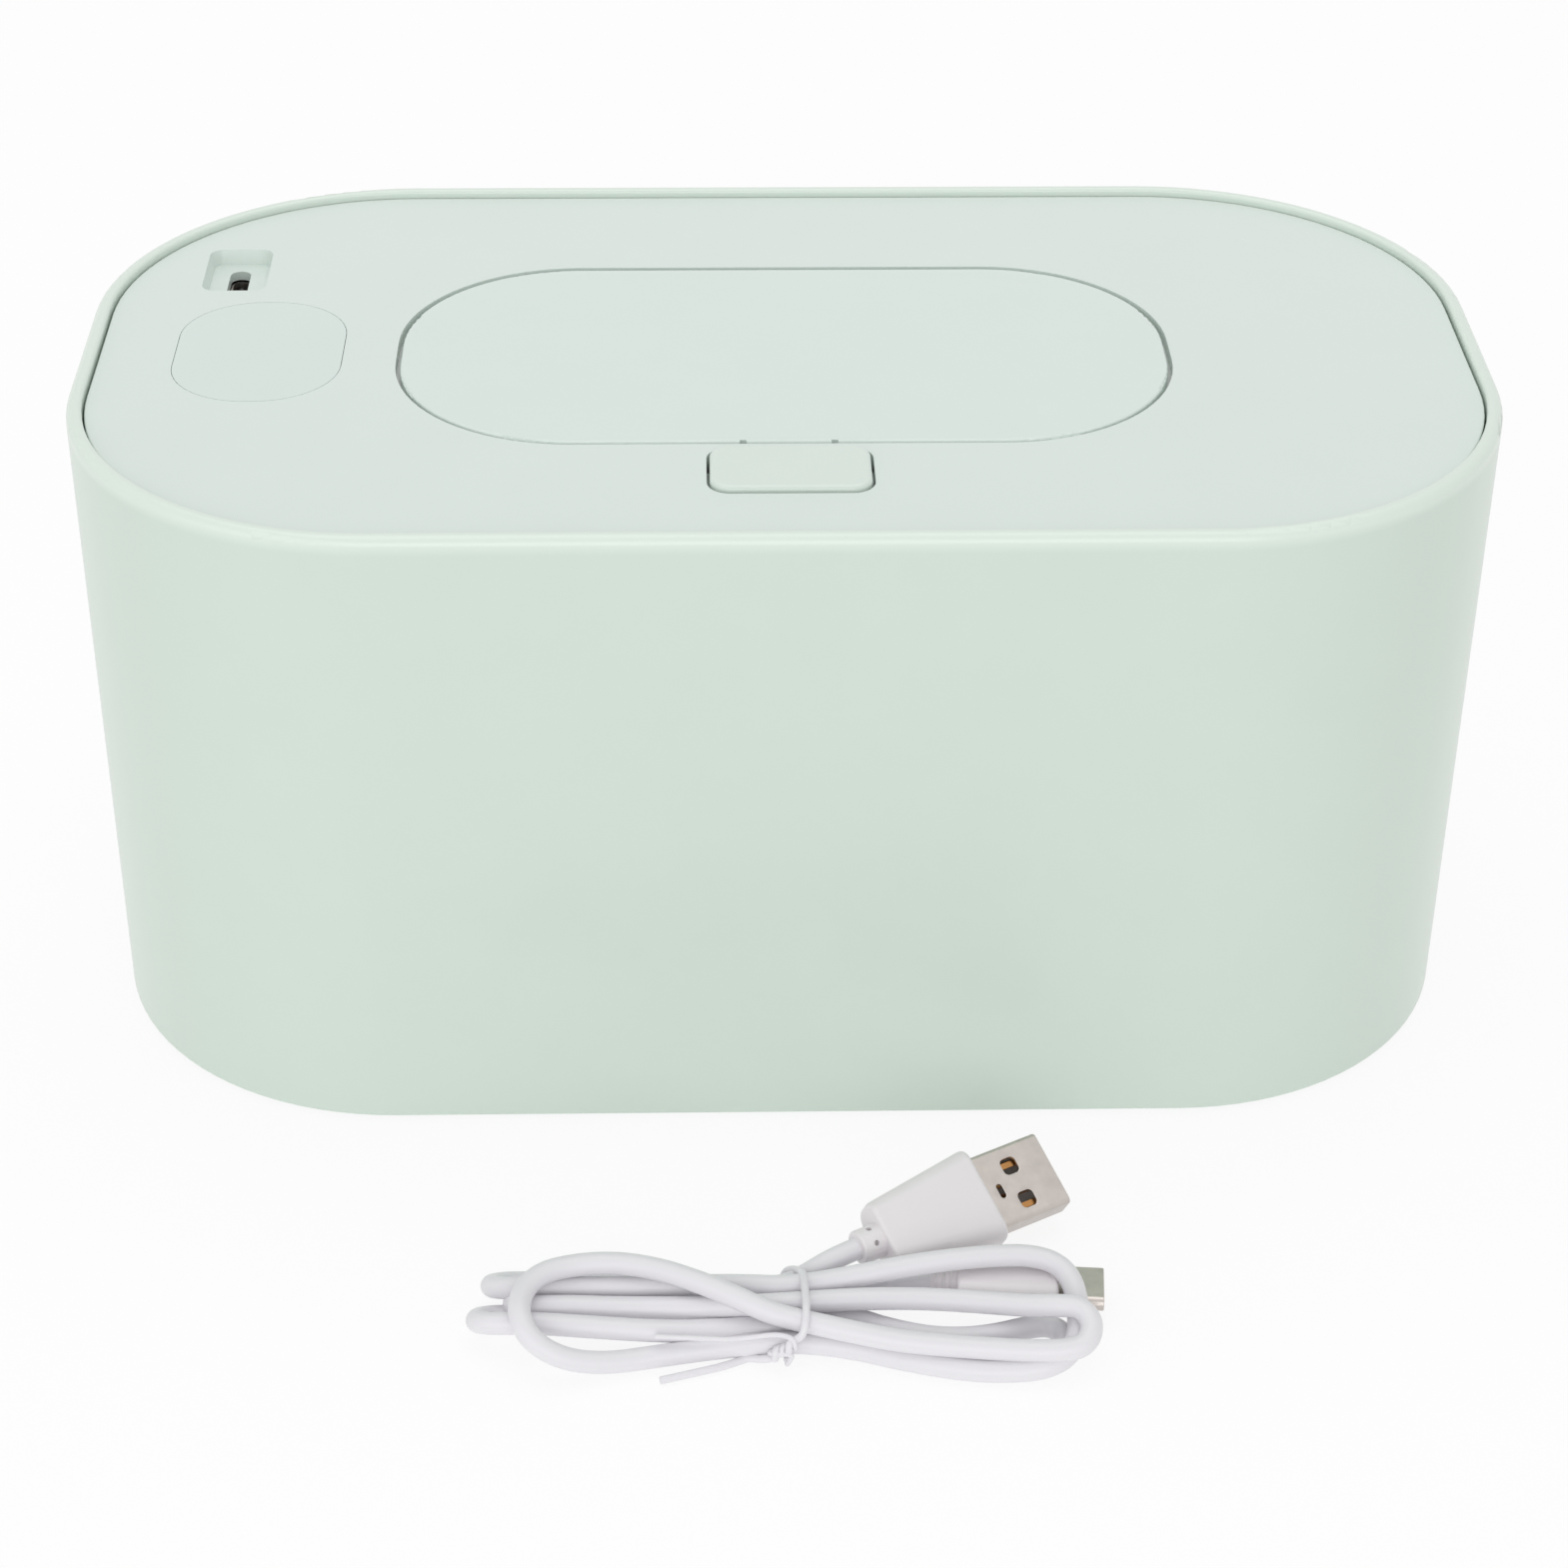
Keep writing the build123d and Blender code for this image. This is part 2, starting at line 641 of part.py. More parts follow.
with BuildPart() as usb_socket_tongue:
    rounded_block(board_top + socket_base, socket_top - tongue_sink, (tongue_thickness, tongue_length),
                  tongue_thickness / 3, port_at)
finish(usb_socket_tongue, "usb_socket_tongue")

# ---------------------------------------------------------------- hinge pin, its spring and the flip lid

with BuildPart() as hinge_pin:
    with BuildSketch(Plane.YZ.offset(-pin_half_length)):
        with Locations((hinge_y, hinge_z)):
            Circle(pin_radius)
    extrude(amount=2 * pin_half_length)
    chamfer(hinge_pin.faces().filter_by(Axis.X).edges(), pin_radius / 4)
finish(hinge_pin, "hinge_pin")

torsion_radius = pin_radius + fit_gap + spring_wire / 2
torsion_length = torsion_pitch * torsion_turns
torsion_end = arm_spacing / 2 - arm_width / 2 - 2 * ear_gap - ear_width

with BuildPart() as hinge_spring:
    with BuildLine() as torsion_coil:
        Helix(pitch=torsion_pitch, height=torsion_length, radius=torsion_radius,
              center=(torsion_end - torsion_length, hinge_y, hinge_z), direction=(1, 0, 0))
    with BuildSketch(Plane(torsion_coil.wire() @ 0, z_dir=torsion_coil.wire() % 0)):
        Circle(spring_wire / 2)
    sweep(path=torsion_coil.wire(), is_frenet=True)
    for end, heading in ((0, -1), (1, 1)):
        leg_direction = heading * (torsion_coil.wire() % end)
        with BuildSketch(Plane(torsion_coil.wire() @ end, z_dir=leg_direction)):
            Circle(spring_wire / 2)
        extrude(amount=panel_under - hinge_z - spring_wire / 2)
finish(hinge_spring, "hinge_spring")

with BuildPart() as flip_lid:
    rounded_block(lid_under, panel_top, (lid_length, lid_width), lid_radius)
    fillet(flip_lid.faces().sort_by(Axis.Z)[-1].edges(), lid_edge_fillet)
    for side in (-1, 1):
        notch_x = side * notch_spacing / 2
        plain_block(lid_under, panel_top, (notch_x - notch_width / 2, notch_x + notch_width / 2),
                    (-lid_width / 2 - notch_depth, -lid_width / 2 + notch_depth), Mode.SUBTRACT)
    # gooseneck arms: a leg straight down from the pin, then a sweep forward and up to the lid
    sweep_outer = arm_sweep_radius + arm_thickness / 2
    sweep_inner = arm_sweep_radius - arm_thickness / 2
    for side in (-1, 1):
        with BuildSketch(Plane.YZ.offset(side * arm_spacing / 2 - arm_width / 2)) as arm:
            with Locations((hinge_y, hinge_z)):
                Circle(sweep_outer)
                Circle(sweep_inner, mode=Mode.SUBTRACT)
            with Locations((hinge_y + arm_thickness / 2 + sweep_outer, hinge_z)):
                Rectangle(2 * sweep_outer, 4 * sweep_outer, mode=Mode.SUBTRACT)
            with Locations((hinge_y, lid_under + sweep_outer)):
                Rectangle(4 * sweep_outer, 2 * sweep_outer, mode=Mode.SUBTRACT)
            with Locations((hinge_y, hinge_z - arm_sweep_radius / 2)):
                Rectangle(arm_thickness, arm_sweep_radius)
            with Locations((hinge_y, hinge_z)):
                Circle(arm_boss_radius)
                Circle(pin_radius + pin_running_gap, mode=Mode.SUBTRACT)
        extrude(arm.sketch, amount=arm_width)
    # hook at the front, with a nose for the catch
    plain_block(hook_base, lid_under, (-hook_width / 2, hook_width / 2),
                (hook_front, hook_front + hook_thickness))
    plain_block(hook_base, nose_top, (-hook_width / 2, hook_width / 2), (hook_front - hook_nose, hook_front))
finish(flip_lid, "flip_lid")

seal_middle = (collar_size[0] + collar_wall, collar_size[1] + collar_wall)

with BuildPart() as lid_seal:
    seal_base = deck_floor_top + collar_height + fit_gap
    rounded_block(seal_base, lid_under, (seal_middle[0] + seal_width, seal_middle[1] + seal_width),
                  (seal_middle[1] + seal_width) / 2)
    rounded_block(seal_base, lid_under, (seal_middle[0] - seal_width, seal_middle[1] - seal_width),
                  (seal_middle[1] - seal_width) / 2, mode=Mode.SUBTRACT)
    fillet(lid_seal.faces().sort_by(Axis.Z)[0].edges(), seal_width / 4)
finish(lid_seal, "lid_seal")

# ---------------------------------------------------------------- push button, its springs and the catch

with BuildPart() as button:
    rounded_block(button_base, button_top, (button_length, button_width), button_radius, (0, button_y))
    fillet(button.faces().sort_by(Axis.Z)[-1].edges(), button_edge_fillet)
    rounded_block(button_base, button_top - button_roof,
                  (button_length - 2 * button_wall, button_width - 2 * button_wall),
                  button_radius - button_wall, (0, button_y), Mode.SUBTRACT)
    # lip under the panel on three sides stops the button coming out
    lip_top = panel_under - fit_gap
    plain_block(lip_top - button_lip_thickness, lip_top, (-lip_reach, lip_reach),
                (button_front - button_lip, button_back - button_radius))
    plain_block(lip_top - button_lip_thickness, lip_top,
                (-button_length / 2 + button_wall, button_length / 2 - button_wall),
                (button_front + button_wall, button_back - button_wall), Mode.SUBTRACT)
    # posts over the springs and over the catch's arm
    round_posts(button_base, button_top - button_roof, spring_radius + spring_wire / 2, spring_places)
    plain_block(button_base, button_top - button_roof, (-post_size / 2, post_size / 2),
                (button_y - post_size / 2, button_y + post_size / 2))
finish(button, "button")

with BuildPart() as button_springs:
    for place in spring_places:
        coil_spring(deck_floor_top, button_base - deck_floor_top, spring_radius, spring_turns, place)
finish(button_springs, "button_springs")

with BuildPart() as lid_catch:
    leaf_front = leaf_back - catch_leaf
    half_catch = hook_width / 2
    plain_block(deck_floor_top, deck_floor_top + catch_foot_thickness, (-half_catch, half_catch),
                (leaf_back - catch_foot, leaf_back))
    plain_block(deck_floor_top, catch_top, (-half_catch, half_catch), (leaf_front, leaf_back))
    plain_block(catch_tooth_base, catch_top, (-half_catch, half_catch),
                (leaf_back, hook_front - hook_nose + catch_bite))
    plain_block(catch_tooth_base, catch_top, (-post_size / 2, post_size / 2),
                (leaf_back - catch_arm, leaf_back))
finish(lid_catch, "lid_catch")

# ---------------------------------------------------------------- loose cable, laid in front of the body


def heading_vector(heading):
    """Unit vector on the floor for a heading in degrees."""
    return Vector(cos(radians(heading)), sin(radians(heading)), 0)


def cross_plane(point, along, roll=0.0):
    """Plane across a plug's axis: its X is the plug's width, tipped by a roll, and its Z is the axis."""
    flat = Vector(-along.Y, along.X, 0)
    width = flat * cos(radians(roll)) + Vector(0, 0, sin(radians(roll)))
    return Plane(point, x_dir=width, z_dir=along)


usb_a_along = heading_vector(usb_a_heading)
usb_a_front = Vector(*usb_a_tip, usb_a_axis_height)
usb_a_joint = usb_a_front - usb_a_along * usb_a_shell_length
usb_a_grip_end = usb_a_joint - usb_a_along * usb_a_grip_length
usb_a_exit = usb_a_grip_end - usb_a_along * usb_a_collar_length
usb_c_along = heading_vector(usb_c_heading)
usb_c_front = Vector(*usb_c_tip, usb_c_grip_thickness / 2)
usb_c_joint = usb_c_front - usb_c_along * usb_c_shell_length
usb_c_grip_end = usb_c_joint - usb_c_along * usb_c_grip_length
usb_c_exit = usb_c_grip_end - usb_c_along * usb_c_relief_length

with BuildPart() as usb_a_shell:
    with BuildSketch(cross_plane(usb_a_joint, usb_a_along, usb_a_roll)):
        RectangleRounded(usb_a_shell_width, usb_a_shell_thickness, usb_a_metal)
        Rectangle(usb_a_shell_width - 2 * usb_a_metal, usb_a_shell_thickness - 2 * usb_a_metal,
                  mode=Mode.SUBTRACT)
    extrude(amount=usb_a_shell_length)
    window_centre = usb_a_front - usb_a_along * usb_a_window_setback
    shell_across = cross_plane(window_centre, usb_a_along, usb_a_roll).x_dir
    shell_face = Plane(window_centre, x_dir=usb_a_along, z_dir=usb_a_along.cross(shell_across))
    with BuildSketch(shell_face):
        with Locations(*[(0, side * usb_a_window_spacing / 2) for side in (-1, 1)]):
            Rectangle(usb_a_window, usb_a_window)
    extrude(amount=usb_a_shell_thickness, both=True, mode=Mode.SUBTRACT)
finish(usb_a_shell, "usb_a_shell")

with BuildPart() as usb_a_tongue:
    with BuildSketch(cross_plane(usb_a_joint, usb_a_along, usb_a_roll)):
        with Locations((0, usb_a_metal + usb_a_tongue_thickness / 2 - usb_a_shell_thickness / 2)):
            Rectangle(usb_a_shell_width - 2 * usb_a_metal, usb_a_tongue_thickness)
    extrude(amount=usb_a_tongue_length)
finish(usb_a_tongue, "usb_a_tongue")

with BuildPart() as usb_a_grip:
    with BuildSketch(cross_plane(usb_a_grip_end, usb_a_along, usb_a_roll)):
        RectangleRounded(usb_a_grip_end_width, usb_a_grip_end_thickness, usb_a_grip_fillet)
    with BuildSketch(cross_plane(usb_a_joint, usb_a_along, usb_a_roll)):
        RectangleRounded(usb_a_grip_width, usb_a_grip_thickness, usb_a_grip_fillet)
    loft(ruled=True)
finish(usb_a_grip, "usb_a_grip")

with BuildPart() as usb_a_collar:
    with BuildSketch(cross_plane(usb_a_exit, usb_a_along)):
        Circle(usb_a_collar_radius)
    extrude(amount=usb_a_collar_length)
finish(usb_a_collar, "usb_a_collar")

with BuildPart() as usb_c_shell:
    with BuildSketch(cross_plane(usb_c_joint, usb_c_along)):
        SlotOverall(usb_c_shell_width, usb_c_shell_thickness)
        SlotOverall(usb_c_shell_width - 2 * usb_a_metal, usb_c_shell_thickness - 2 * usb_a_metal,
                    mode=Mode.SUBTRACT)
    extrude(amount=usb_c_shell_length)
finish(usb_c_shell, "usb_c_shell")

with BuildPart() as usb_c_grip:
    with BuildSketch(cross_plane(usb_c_grip_end, usb_c_along)):
        RectangleRounded(usb_c_grip_width, usb_c_grip_thickness, usb_c_grip_thickness / 2 - fit_gap)
    extrude(amount=usb_c_grip_length)
finish(usb_c_grip, "usb_c_grip")

with BuildPart() as usb_c_relief:
    with BuildSketch(cross_plane(usb_c_exit, usb_c_along)):
        Circle(usb_c_relief_radius)
    extrude(amount=usb_c_relief_length)
finish(usb_c_relief, "usb_c_relief")

# the outline of the bundled turns, clockwise from the left folds, with one corner radius
hank_outline = [(-46.8, -106.4), (-44.0, -103.6), (-36.0, -103.2), (-20.0, -102.7), (-8.0, -102.2),
                (-1.0, -102.0), (1.6, -104.2), (8.0, -106.2), (19.0, -105.4), (28.0, -102.8), (35.0, -102.6),
                (40.4, -104.6), (43.0, -109.4), (43.2, -117.0), (41.8, -121.6), (35.0, -123.8),
                (28.0, -124.4), (20.0, -123.2), (8.0, -119.4), (-2.0, -118.8), (-10.0, -118.6),
                (-20.0, -120.6), (-30.0, -122.0), (-37.0, -121.2), (-41.6, -117.4), (-47.4, -116.4)]
tie_middle = ((tie_front + tie_back) / 2, tie_height / 2)
tie_outer = (tie_back - tie_front, tie_height)
tie_inner = (tie_outer[0] - 2 * tie_wire, tie_outer[1] - 2 * tie_wire)
waist = (tie_inner[0] - 2 * tie_slack, tie_inner[1] - 2 * pocket_gap)
tie_tail = [(tie_x, tie_front + tie_wire), (tie_x, tie_front - 0.4), (-7.7, -120.6), (-12.9, -121.4),
            (-16.5, -122.6), (-19.8, -123.6)]

with BuildPart() as cable_hank:
    with BuildSketch():
        with BuildLine():
            FilletPolyline(*hank_outline, radius=hank_corner, close=True)
        make_face()
    extrude(amount=hank_height)
    fillet(cable_hank.faces().sort_by(Axis.Z)[-1].edges(), hank_edge_fillet)
    # waist for the tie
    with BuildSketch(Plane.YZ.offset(tie_x - tie_wire / 2 - pocket_gap)) as waist_outline:
        with Locations(tie_middle):
            Rectangle(2 * tie_outer[0], 3 * hank_height)
            RectangleRounded(*waist, tie_corner, mode=Mode.SUBTRACT)
    extrude(waist_outline.sketch, amount=tie_wire + 2 * pocket_gap, mode=Mode.SUBTRACT)
    # tunnel around the small plug, which lies under the top turns
    with BuildSketch(cross_plane(usb_c_exit, usb_c_along)) as tunnel:
        Rectangle(usb_c_grip_width + 2 * fit_gap, 2 * (usb_c_grip_thickness / 2 + fit_gap))
    extrude(tunnel.sketch, amount=2 * usb_c_grip_length + usb_c_relief_length + usb_c_shell_length,
            mode=Mode.SUBTRACT)
finish(cable_hank, "cable_hank")

with BuildPart() as twist_tie:
    with BuildSketch(Plane.YZ.offset(tie_x - tie_wire / 2)) as band:
        with Locations(tie_middle):
            RectangleRounded(*tie_outer, tie_corner + tie_wire)
            RectangleRounded(*tie_inner, tie_corner, mode=Mode.SUBTRACT)
    extrude(band.sketch, amount=tie_wire)
    with BuildSketch() as tail:
        with BuildLine() as tail_line:
            Polyline(*tie_tail)
        trace(tail_line.edges(), line_width=tie_wire)
    extrude(tail.sketch, amount=tie_wire)
finish(twist_tie, "twist_tie")

# the free stretch from the large plug's collar to the hank: straight runs joined by tangent arcs
lead_straight = usb_a_exit - usb_a_along * usb_a_collar_length
lead_route = [tuple(usb_a_exit), tuple(lead_straight), (1.4, -104.4, 4.9)]


def route_radii(route):
    """The largest tangent arc that fits at each corner of a route."""
    points = [Vector(*point) for point in route]
    radii = []
    for before, corner, after in zip(points, points[1:], points[2:]):
        turn = (corner - before).get_angle(after - corner)
        shorter = min((corner - before).length, (after - corner).length)
        radii.append(0.45 * shorter / tan(radians(turn / 2)))
    return radii


lead_radii = route_radii(lead_route)
print("cable radii, mm:", [round(radius, 1) for radius in lead_radii])

with BuildPart() as cable_lead:
    with BuildLine() as lead_path:
        FilletPolyline(*lead_route, radius=lead_radii)
    with BuildSketch(Plane(lead_path.wire() @ 0, z_dir=lead_path.wire() % 0)):
        Circle(cable_diameter / 2)
    sweep(path=lead_path.wire())
finish(cable_lead, "cable_lead")
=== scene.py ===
"""Looks of the baby wipe warmer: mint tub, heated cover, flip lid, button and loose USB cable."""

from math import cos, pi, radians, sin

import bmesh
import bpy
from mathutils import Matrix, Vector


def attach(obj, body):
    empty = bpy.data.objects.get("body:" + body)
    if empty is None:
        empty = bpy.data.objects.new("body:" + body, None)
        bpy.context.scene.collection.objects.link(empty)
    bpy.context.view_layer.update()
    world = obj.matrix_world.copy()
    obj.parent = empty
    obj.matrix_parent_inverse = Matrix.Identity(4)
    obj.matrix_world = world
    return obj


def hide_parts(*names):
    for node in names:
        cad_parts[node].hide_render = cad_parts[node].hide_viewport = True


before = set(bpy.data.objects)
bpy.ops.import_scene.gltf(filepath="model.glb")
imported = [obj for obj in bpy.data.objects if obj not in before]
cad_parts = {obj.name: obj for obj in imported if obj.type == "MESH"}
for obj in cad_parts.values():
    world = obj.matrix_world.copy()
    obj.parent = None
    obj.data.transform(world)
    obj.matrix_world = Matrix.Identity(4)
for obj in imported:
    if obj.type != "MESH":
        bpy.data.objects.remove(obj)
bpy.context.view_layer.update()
MM = 0.001

# ---------------------------------------------------------------- sizes in millimetres, as in the part

cable_diameter = 3.3
usb_a_tip = (38.6, -83.8, 6.5)
usb_a_heading = 30.2
usb_a_roll = 30.0
usb_a_shell_size = (12.1, 12.0, 4.5)
usb_a_grip_length = 18.4
usb_a_collar_length = 3.8
usb_c_tip = (45.0, -106.6, 3.0)
usb_c_heading = -5.0
usb_c_shell_size = (6.65, 8.25, 2.4)
usb_c_grip_length = 14.8
usb_c_relief_length = 4.0

# ---------------------------------------------------------------- shader helpers


class Reading:
    """A number that varies over a surface. Arithmetic on it adds Math nodes to its finish."""

    def __init__(self, finish, socket):
        self.finish = finish
        self.socket = socket

    def _join(self, operation, *values):
        made = self.finish.node("ShaderNodeMath", {"operation": operation}, dict(enumerate(values)))
        return Reading(self.finish, made.outputs[0])

    def __add__(self, other):
        return self._join("ADD", self, other)

    def __mul__(self, other):
        return self._join("MULTIPLY", self, other)

    def __sub__(self, other):
        return self._join("SUBTRACT", self, other)

    def __gt__(self, other):
        return self._join("GREATER_THAN", self, other)

    def __lt__(self, other):
        return self._join("LESS_THAN", self, other)

    def wave(self):
        return self._join("SINE", self)

    def size(self):
        return self._join("ABSOLUTE", self)

    def part(self):
        return self._join("FRACT", self)

    def either(self, other):
        return self._join("MAXIMUM", self, other)

    __radd__ = __add__
    __rmul__ = __mul__


class Finish:
    """A material around one Principled shader. Fixed values sit on the shader's own sockets."""

    def __init__(self, name, colour, roughness, **fixed):
        self.material = bpy.data.materials.new(name)
        self.material.use_nodes = True
        self.tree = self.material.node_tree
        self.tree.nodes.clear()
        values = {"Base Color": (*colour, 1.0), "Roughness": roughness}
        values.update({key.replace("_", " "): value for key, value in fixed.items()})
        self.shader = self.node("ShaderNodeBsdfPrincipled", {}, values)
        self.output = self.node("ShaderNodeOutputMaterial", {}, {"Surface": self.shader.outputs[0]})
        self.place = self.node("ShaderNodeTexCoord", {}, {}).outputs["Object"]
        self.colour = (*colour, 1.0)

    @classmethod
    def on_tree(cls, tree):
        """The same node helpers on a tree that has no surface shader, emptied first."""
        finish = cls.__new__(cls)
        finish.tree = tree
        finish.tree.nodes.clear()
        return finish

    def seen_directly(self):
        """1 for rays from the camera, in a reflection or through a clear material, else 0."""
        rays = self.node("ShaderNodeLightPath", {}, {})
        camera_ray, glossy, through = [Reading(self, rays.outputs[key]) for key in (
            "Is Camera Ray", "Is Glossy Ray", "Is Transmission Ray")]
        return camera_ray.either(glossy).either(through)

    def node(self, kind, settings, values):
        """One node of a type, its settings first and then the values or links of its sockets."""
        made = self.tree.nodes.new(kind)
        for key, value in settings.items():
            if key == "stops":
                ramp = made.color_ramp
                while len(ramp.elements) < len(value):
                    ramp.elements.new(0.5)
                for element, (position, colour) in zip(ramp.elements, value):
                    element.position = position
                    element.color = (*colour, 1.0)
            else:
                setattr(made, key, value)
        for key, value in values.items():
            socket = made.inputs[key]
            if isinstance(value, Reading):
                self.tree.links.new(value.socket, socket)
            elif isinstance(value, bpy.types.NodeSocket):
                self.tree.links.new(value, socket)
            else:
                socket.default_value = value
        return made

    def axes(self):
        """The object's own X, Y and Z in metres, as readings."""
        parts = self.node("ShaderNodeSeparateXYZ", {}, {"Vector": self.place})
        return [Reading(self, socket) for socket in parts.outputs]

    def stretched(self, scale):
        return self.node("ShaderNodeMapping", {}, {"Vector": self.place, "Scale": scale}).outputs[0]

    def noise(self, scale, detail=2.0, rough=0.5, vector=None):
        made = self.node("ShaderNodeTexNoise", {}, {"Vector": vector or self.place, "Scale": scale,
                                                    "Detail": detail, "Roughness": rough})
        return Reading(self, made.outputs[0])

    def mix(self, amount, first, second):
        """A colour between two, each a colour or a link."""
        made = self.node("ShaderNodeMix", {"data_type": "RGBA"}, {0: amount})
        for socket, value in ((made.inputs[6], first), (made.inputs[7], second)):
            if isinstance(value, bpy.types.NodeSocket):
                self.tree.links.new(value, socket)
            else:
                socket.default_value = (*value[:3], 1.0)
        return made.outputs[2]

    def set(self, key, value):
        socket = self.shader.inputs[key]
        self.tree.links.new(value.socket if isinstance(value, Reading) else value, socket)

    def vary(self, amount, colour_shift, rough_shift, roughness):
        """A little drift of tone and of gloss over the surface."""
        light = [min(1.0, c * (1 + colour_shift)) for c in self.colour[:3]]
        dark = [c * (1 - colour_shift) for c in self.colour[:3]]
        self.set("Base Color", self.mix(amount, dark, light))
        self.set("Roughness", amount * (2 * rough_shift) + (roughness - rough_shift))

    def relief(self, height, strength, distance, normal=None):
        values = {"Height": height, "Strength": strength, "Distance": distance}
        if normal is not None:
            values["Normal"] = normal
        bump = self.node("ShaderNodeBump", {}, values)
        self.set("Normal", bump.outputs[0])
        return bump.outputs[0]


def srgb(*values):
    """Colour values as they look on screen, 0 to 255, as the linear values that a shader takes."""
    shares = [v / 255 for v in values]
    return tuple(v / 12.92 if v <= 0.04045 else ((v + 0.055) / 1.055) ** 2.4 for v in shares)


def moulded(name, colour, roughness, grain=900.0, grain_depth=0.00001, drift=0.012, **fixed):
    """Moulded plastic or rubber: slow tone drift, fine surface grain and a softer swell under the gloss."""
    finish = Finish(name, colour, roughness, **fixed)
    finish.vary(finish.noise(90.0, 3.0), drift, 0.02, roughness)
    swell = finish.relief(finish.noise(70.0, 1.0), 0.1, 0.00003)
    finish.relief(finish.noise(grain, 1.0), 0.06, grain_depth, swell)
    return finish


def metal(name, colour, roughness, stretch=(60.0, 900.0, 900.0), mottle=0.06):
    """Bare metal: drawn or rolled grain along one axis with a faint mottle."""
    finish = Finish(name, colour, roughness, Metallic=1.0)
    grain = finish.noise(1.0, 4.0, 0.6, finish.stretched(stretch))
    patches = finish.noise(420.0, 3.0)
    darker = [c * (1 - mottle) for c in colour]
    lighter = [c * (1 + mottle) for c in colour]
    finish.set("Base Color", finish.mix(patches, darker, lighter))
    finish.set("Roughness", grain * 0.16 + patches * 0.10 + (roughness - 0.13))
    finish.relief(grain + patches * 0.6, 0.3, 0.00001)
    return finish


# ---------------------------------------------------------------- mesh helpers


def keep(name, mesh_builder, body, finishes, nodes=()):
    """Make a finished object from a bmesh: its place is in its mesh, and it rides on a body."""
    mesh = bpy.data.meshes.new(name)
    mesh_builder.to_mesh(mesh)
    mesh_builder.free()
    return settle(name, mesh, body, finishes, nodes)


def settle(name, mesh, body, finishes, nodes=(), crease=32.0):
    """Put a mesh in the scene with smooth shading between its creases, and tie it to its body."""
    mesh.name = name
    if len(mesh.materials):
        mesh.materials.clear()
    for finish in finishes:
        mesh.materials.append(finish.material)
    mesh.shade_smooth()
    mesh.set_sharp_from_angle(angle=radians(crease))
    piece = bpy.data.objects.new(name, mesh)
    bpy.context.scene.collection.objects.link(piece)
    weights = piece.modifiers.new("even shading", "WEIGHTED_NORMAL")
    weights.keep_sharp = True
    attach(piece, body)
    if nodes:
        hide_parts(*nodes)
    return piece


def dressed(node, body, finish, name=None, crease=32.0):
    """A smooth-shaded copy of one of the part's own solids."""
    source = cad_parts[node]
    mesh = source.data.copy()
    builder = bmesh.new()
    builder.from_mesh(mesh)
    bmesh.ops.remove_doubles(builder, verts=builder.verts, dist=1e-6)
    builder.to_mesh(mesh)
    builder.free()
    if "custom_normal" in mesh.attributes:
        mesh.attributes.remove(mesh.attributes["custom_normal"])
    for polygon in mesh.polygons:
        polygon.material_index = 0
    return settle(name or node + "_skin", mesh, body, [finish], [node], crease)


def rounded_outline(width, height, radius, steps):
    """Points of a rounded rectangle around the origin, anticlockwise."""
    points = []
    for corner in range(4):
        sx, sy = ((1, 1), (-1, 1), (-1, -1), (1, -1))[corner]
        for step in range(steps + 1):
            angle = pi / 2 * (corner + step / steps)
            points.append((sx * (width / 2 - radius) + radius * cos(angle),
                           sy * (height / 2 - radius) + radius * sin(angle)))
    return points


def skin_rings(builder, rings, close_start=True, close_end=True, material=0):
    """Skin a list of equal rings of points with faces, and cap its ends."""
    rows = [[builder.verts.new(point) for point in ring] for ring in rings]
    count = len(rows[0])
    for row, following in zip(rows, rows[1:]):
        for i in range(count):
            after = (i + 1) % count
            face = builder.faces.new((row[i], row[after], following[after], following[i]))
            face.material_index = material
    caps = []
    if close_start:
        caps.append(builder.faces.new(list(reversed(rows[0]))))
    if close_end:
        caps.append(builder.faces.new(rows[-1]))
    for face in caps:
        face.material_index = material


def heading_frame(point, heading, roll=0.0):
    """Matrix that puts a plug's own axes, X along it, Y across and Z up, at a point in millimetres."""
    along = Vector((cos(radians(heading)), sin(radians(heading)), 0))
    flat = Vector((-along.y, along.x, 0))
    across = flat * cos(radians(roll)) + Vector((0, 0, sin(radians(roll))))
    up = along.cross(across)
    turn = Matrix((along, across, up)).transposed().to_4x4()
    return Matrix.Scale(MM, 4) @ Matrix.Translation(point) @ turn


def section_rings(frame_matrix, sections, steps=6):
    """Rings across a plug's axis, one for each (along, width, thickness, radius)."""
    rings = []
    for along, width, thickness, radius in sections:
        corner = min(radius, width / 2 - 0.01, thickness / 2 - 0.01)
        outline = rounded_outline(width, thickness, corner, steps)
        rings.append([frame_matrix @ Vector((along, y, z)) for y, z in outline])
    return rings


def outward(builder):
    bmesh.ops.remove_doubles(builder, verts=builder.verts, dist=1e-7)
    bmesh.ops.recalc_face_normals(builder, faces=builder.faces)


# ---------------------------------------------------------------- finishes

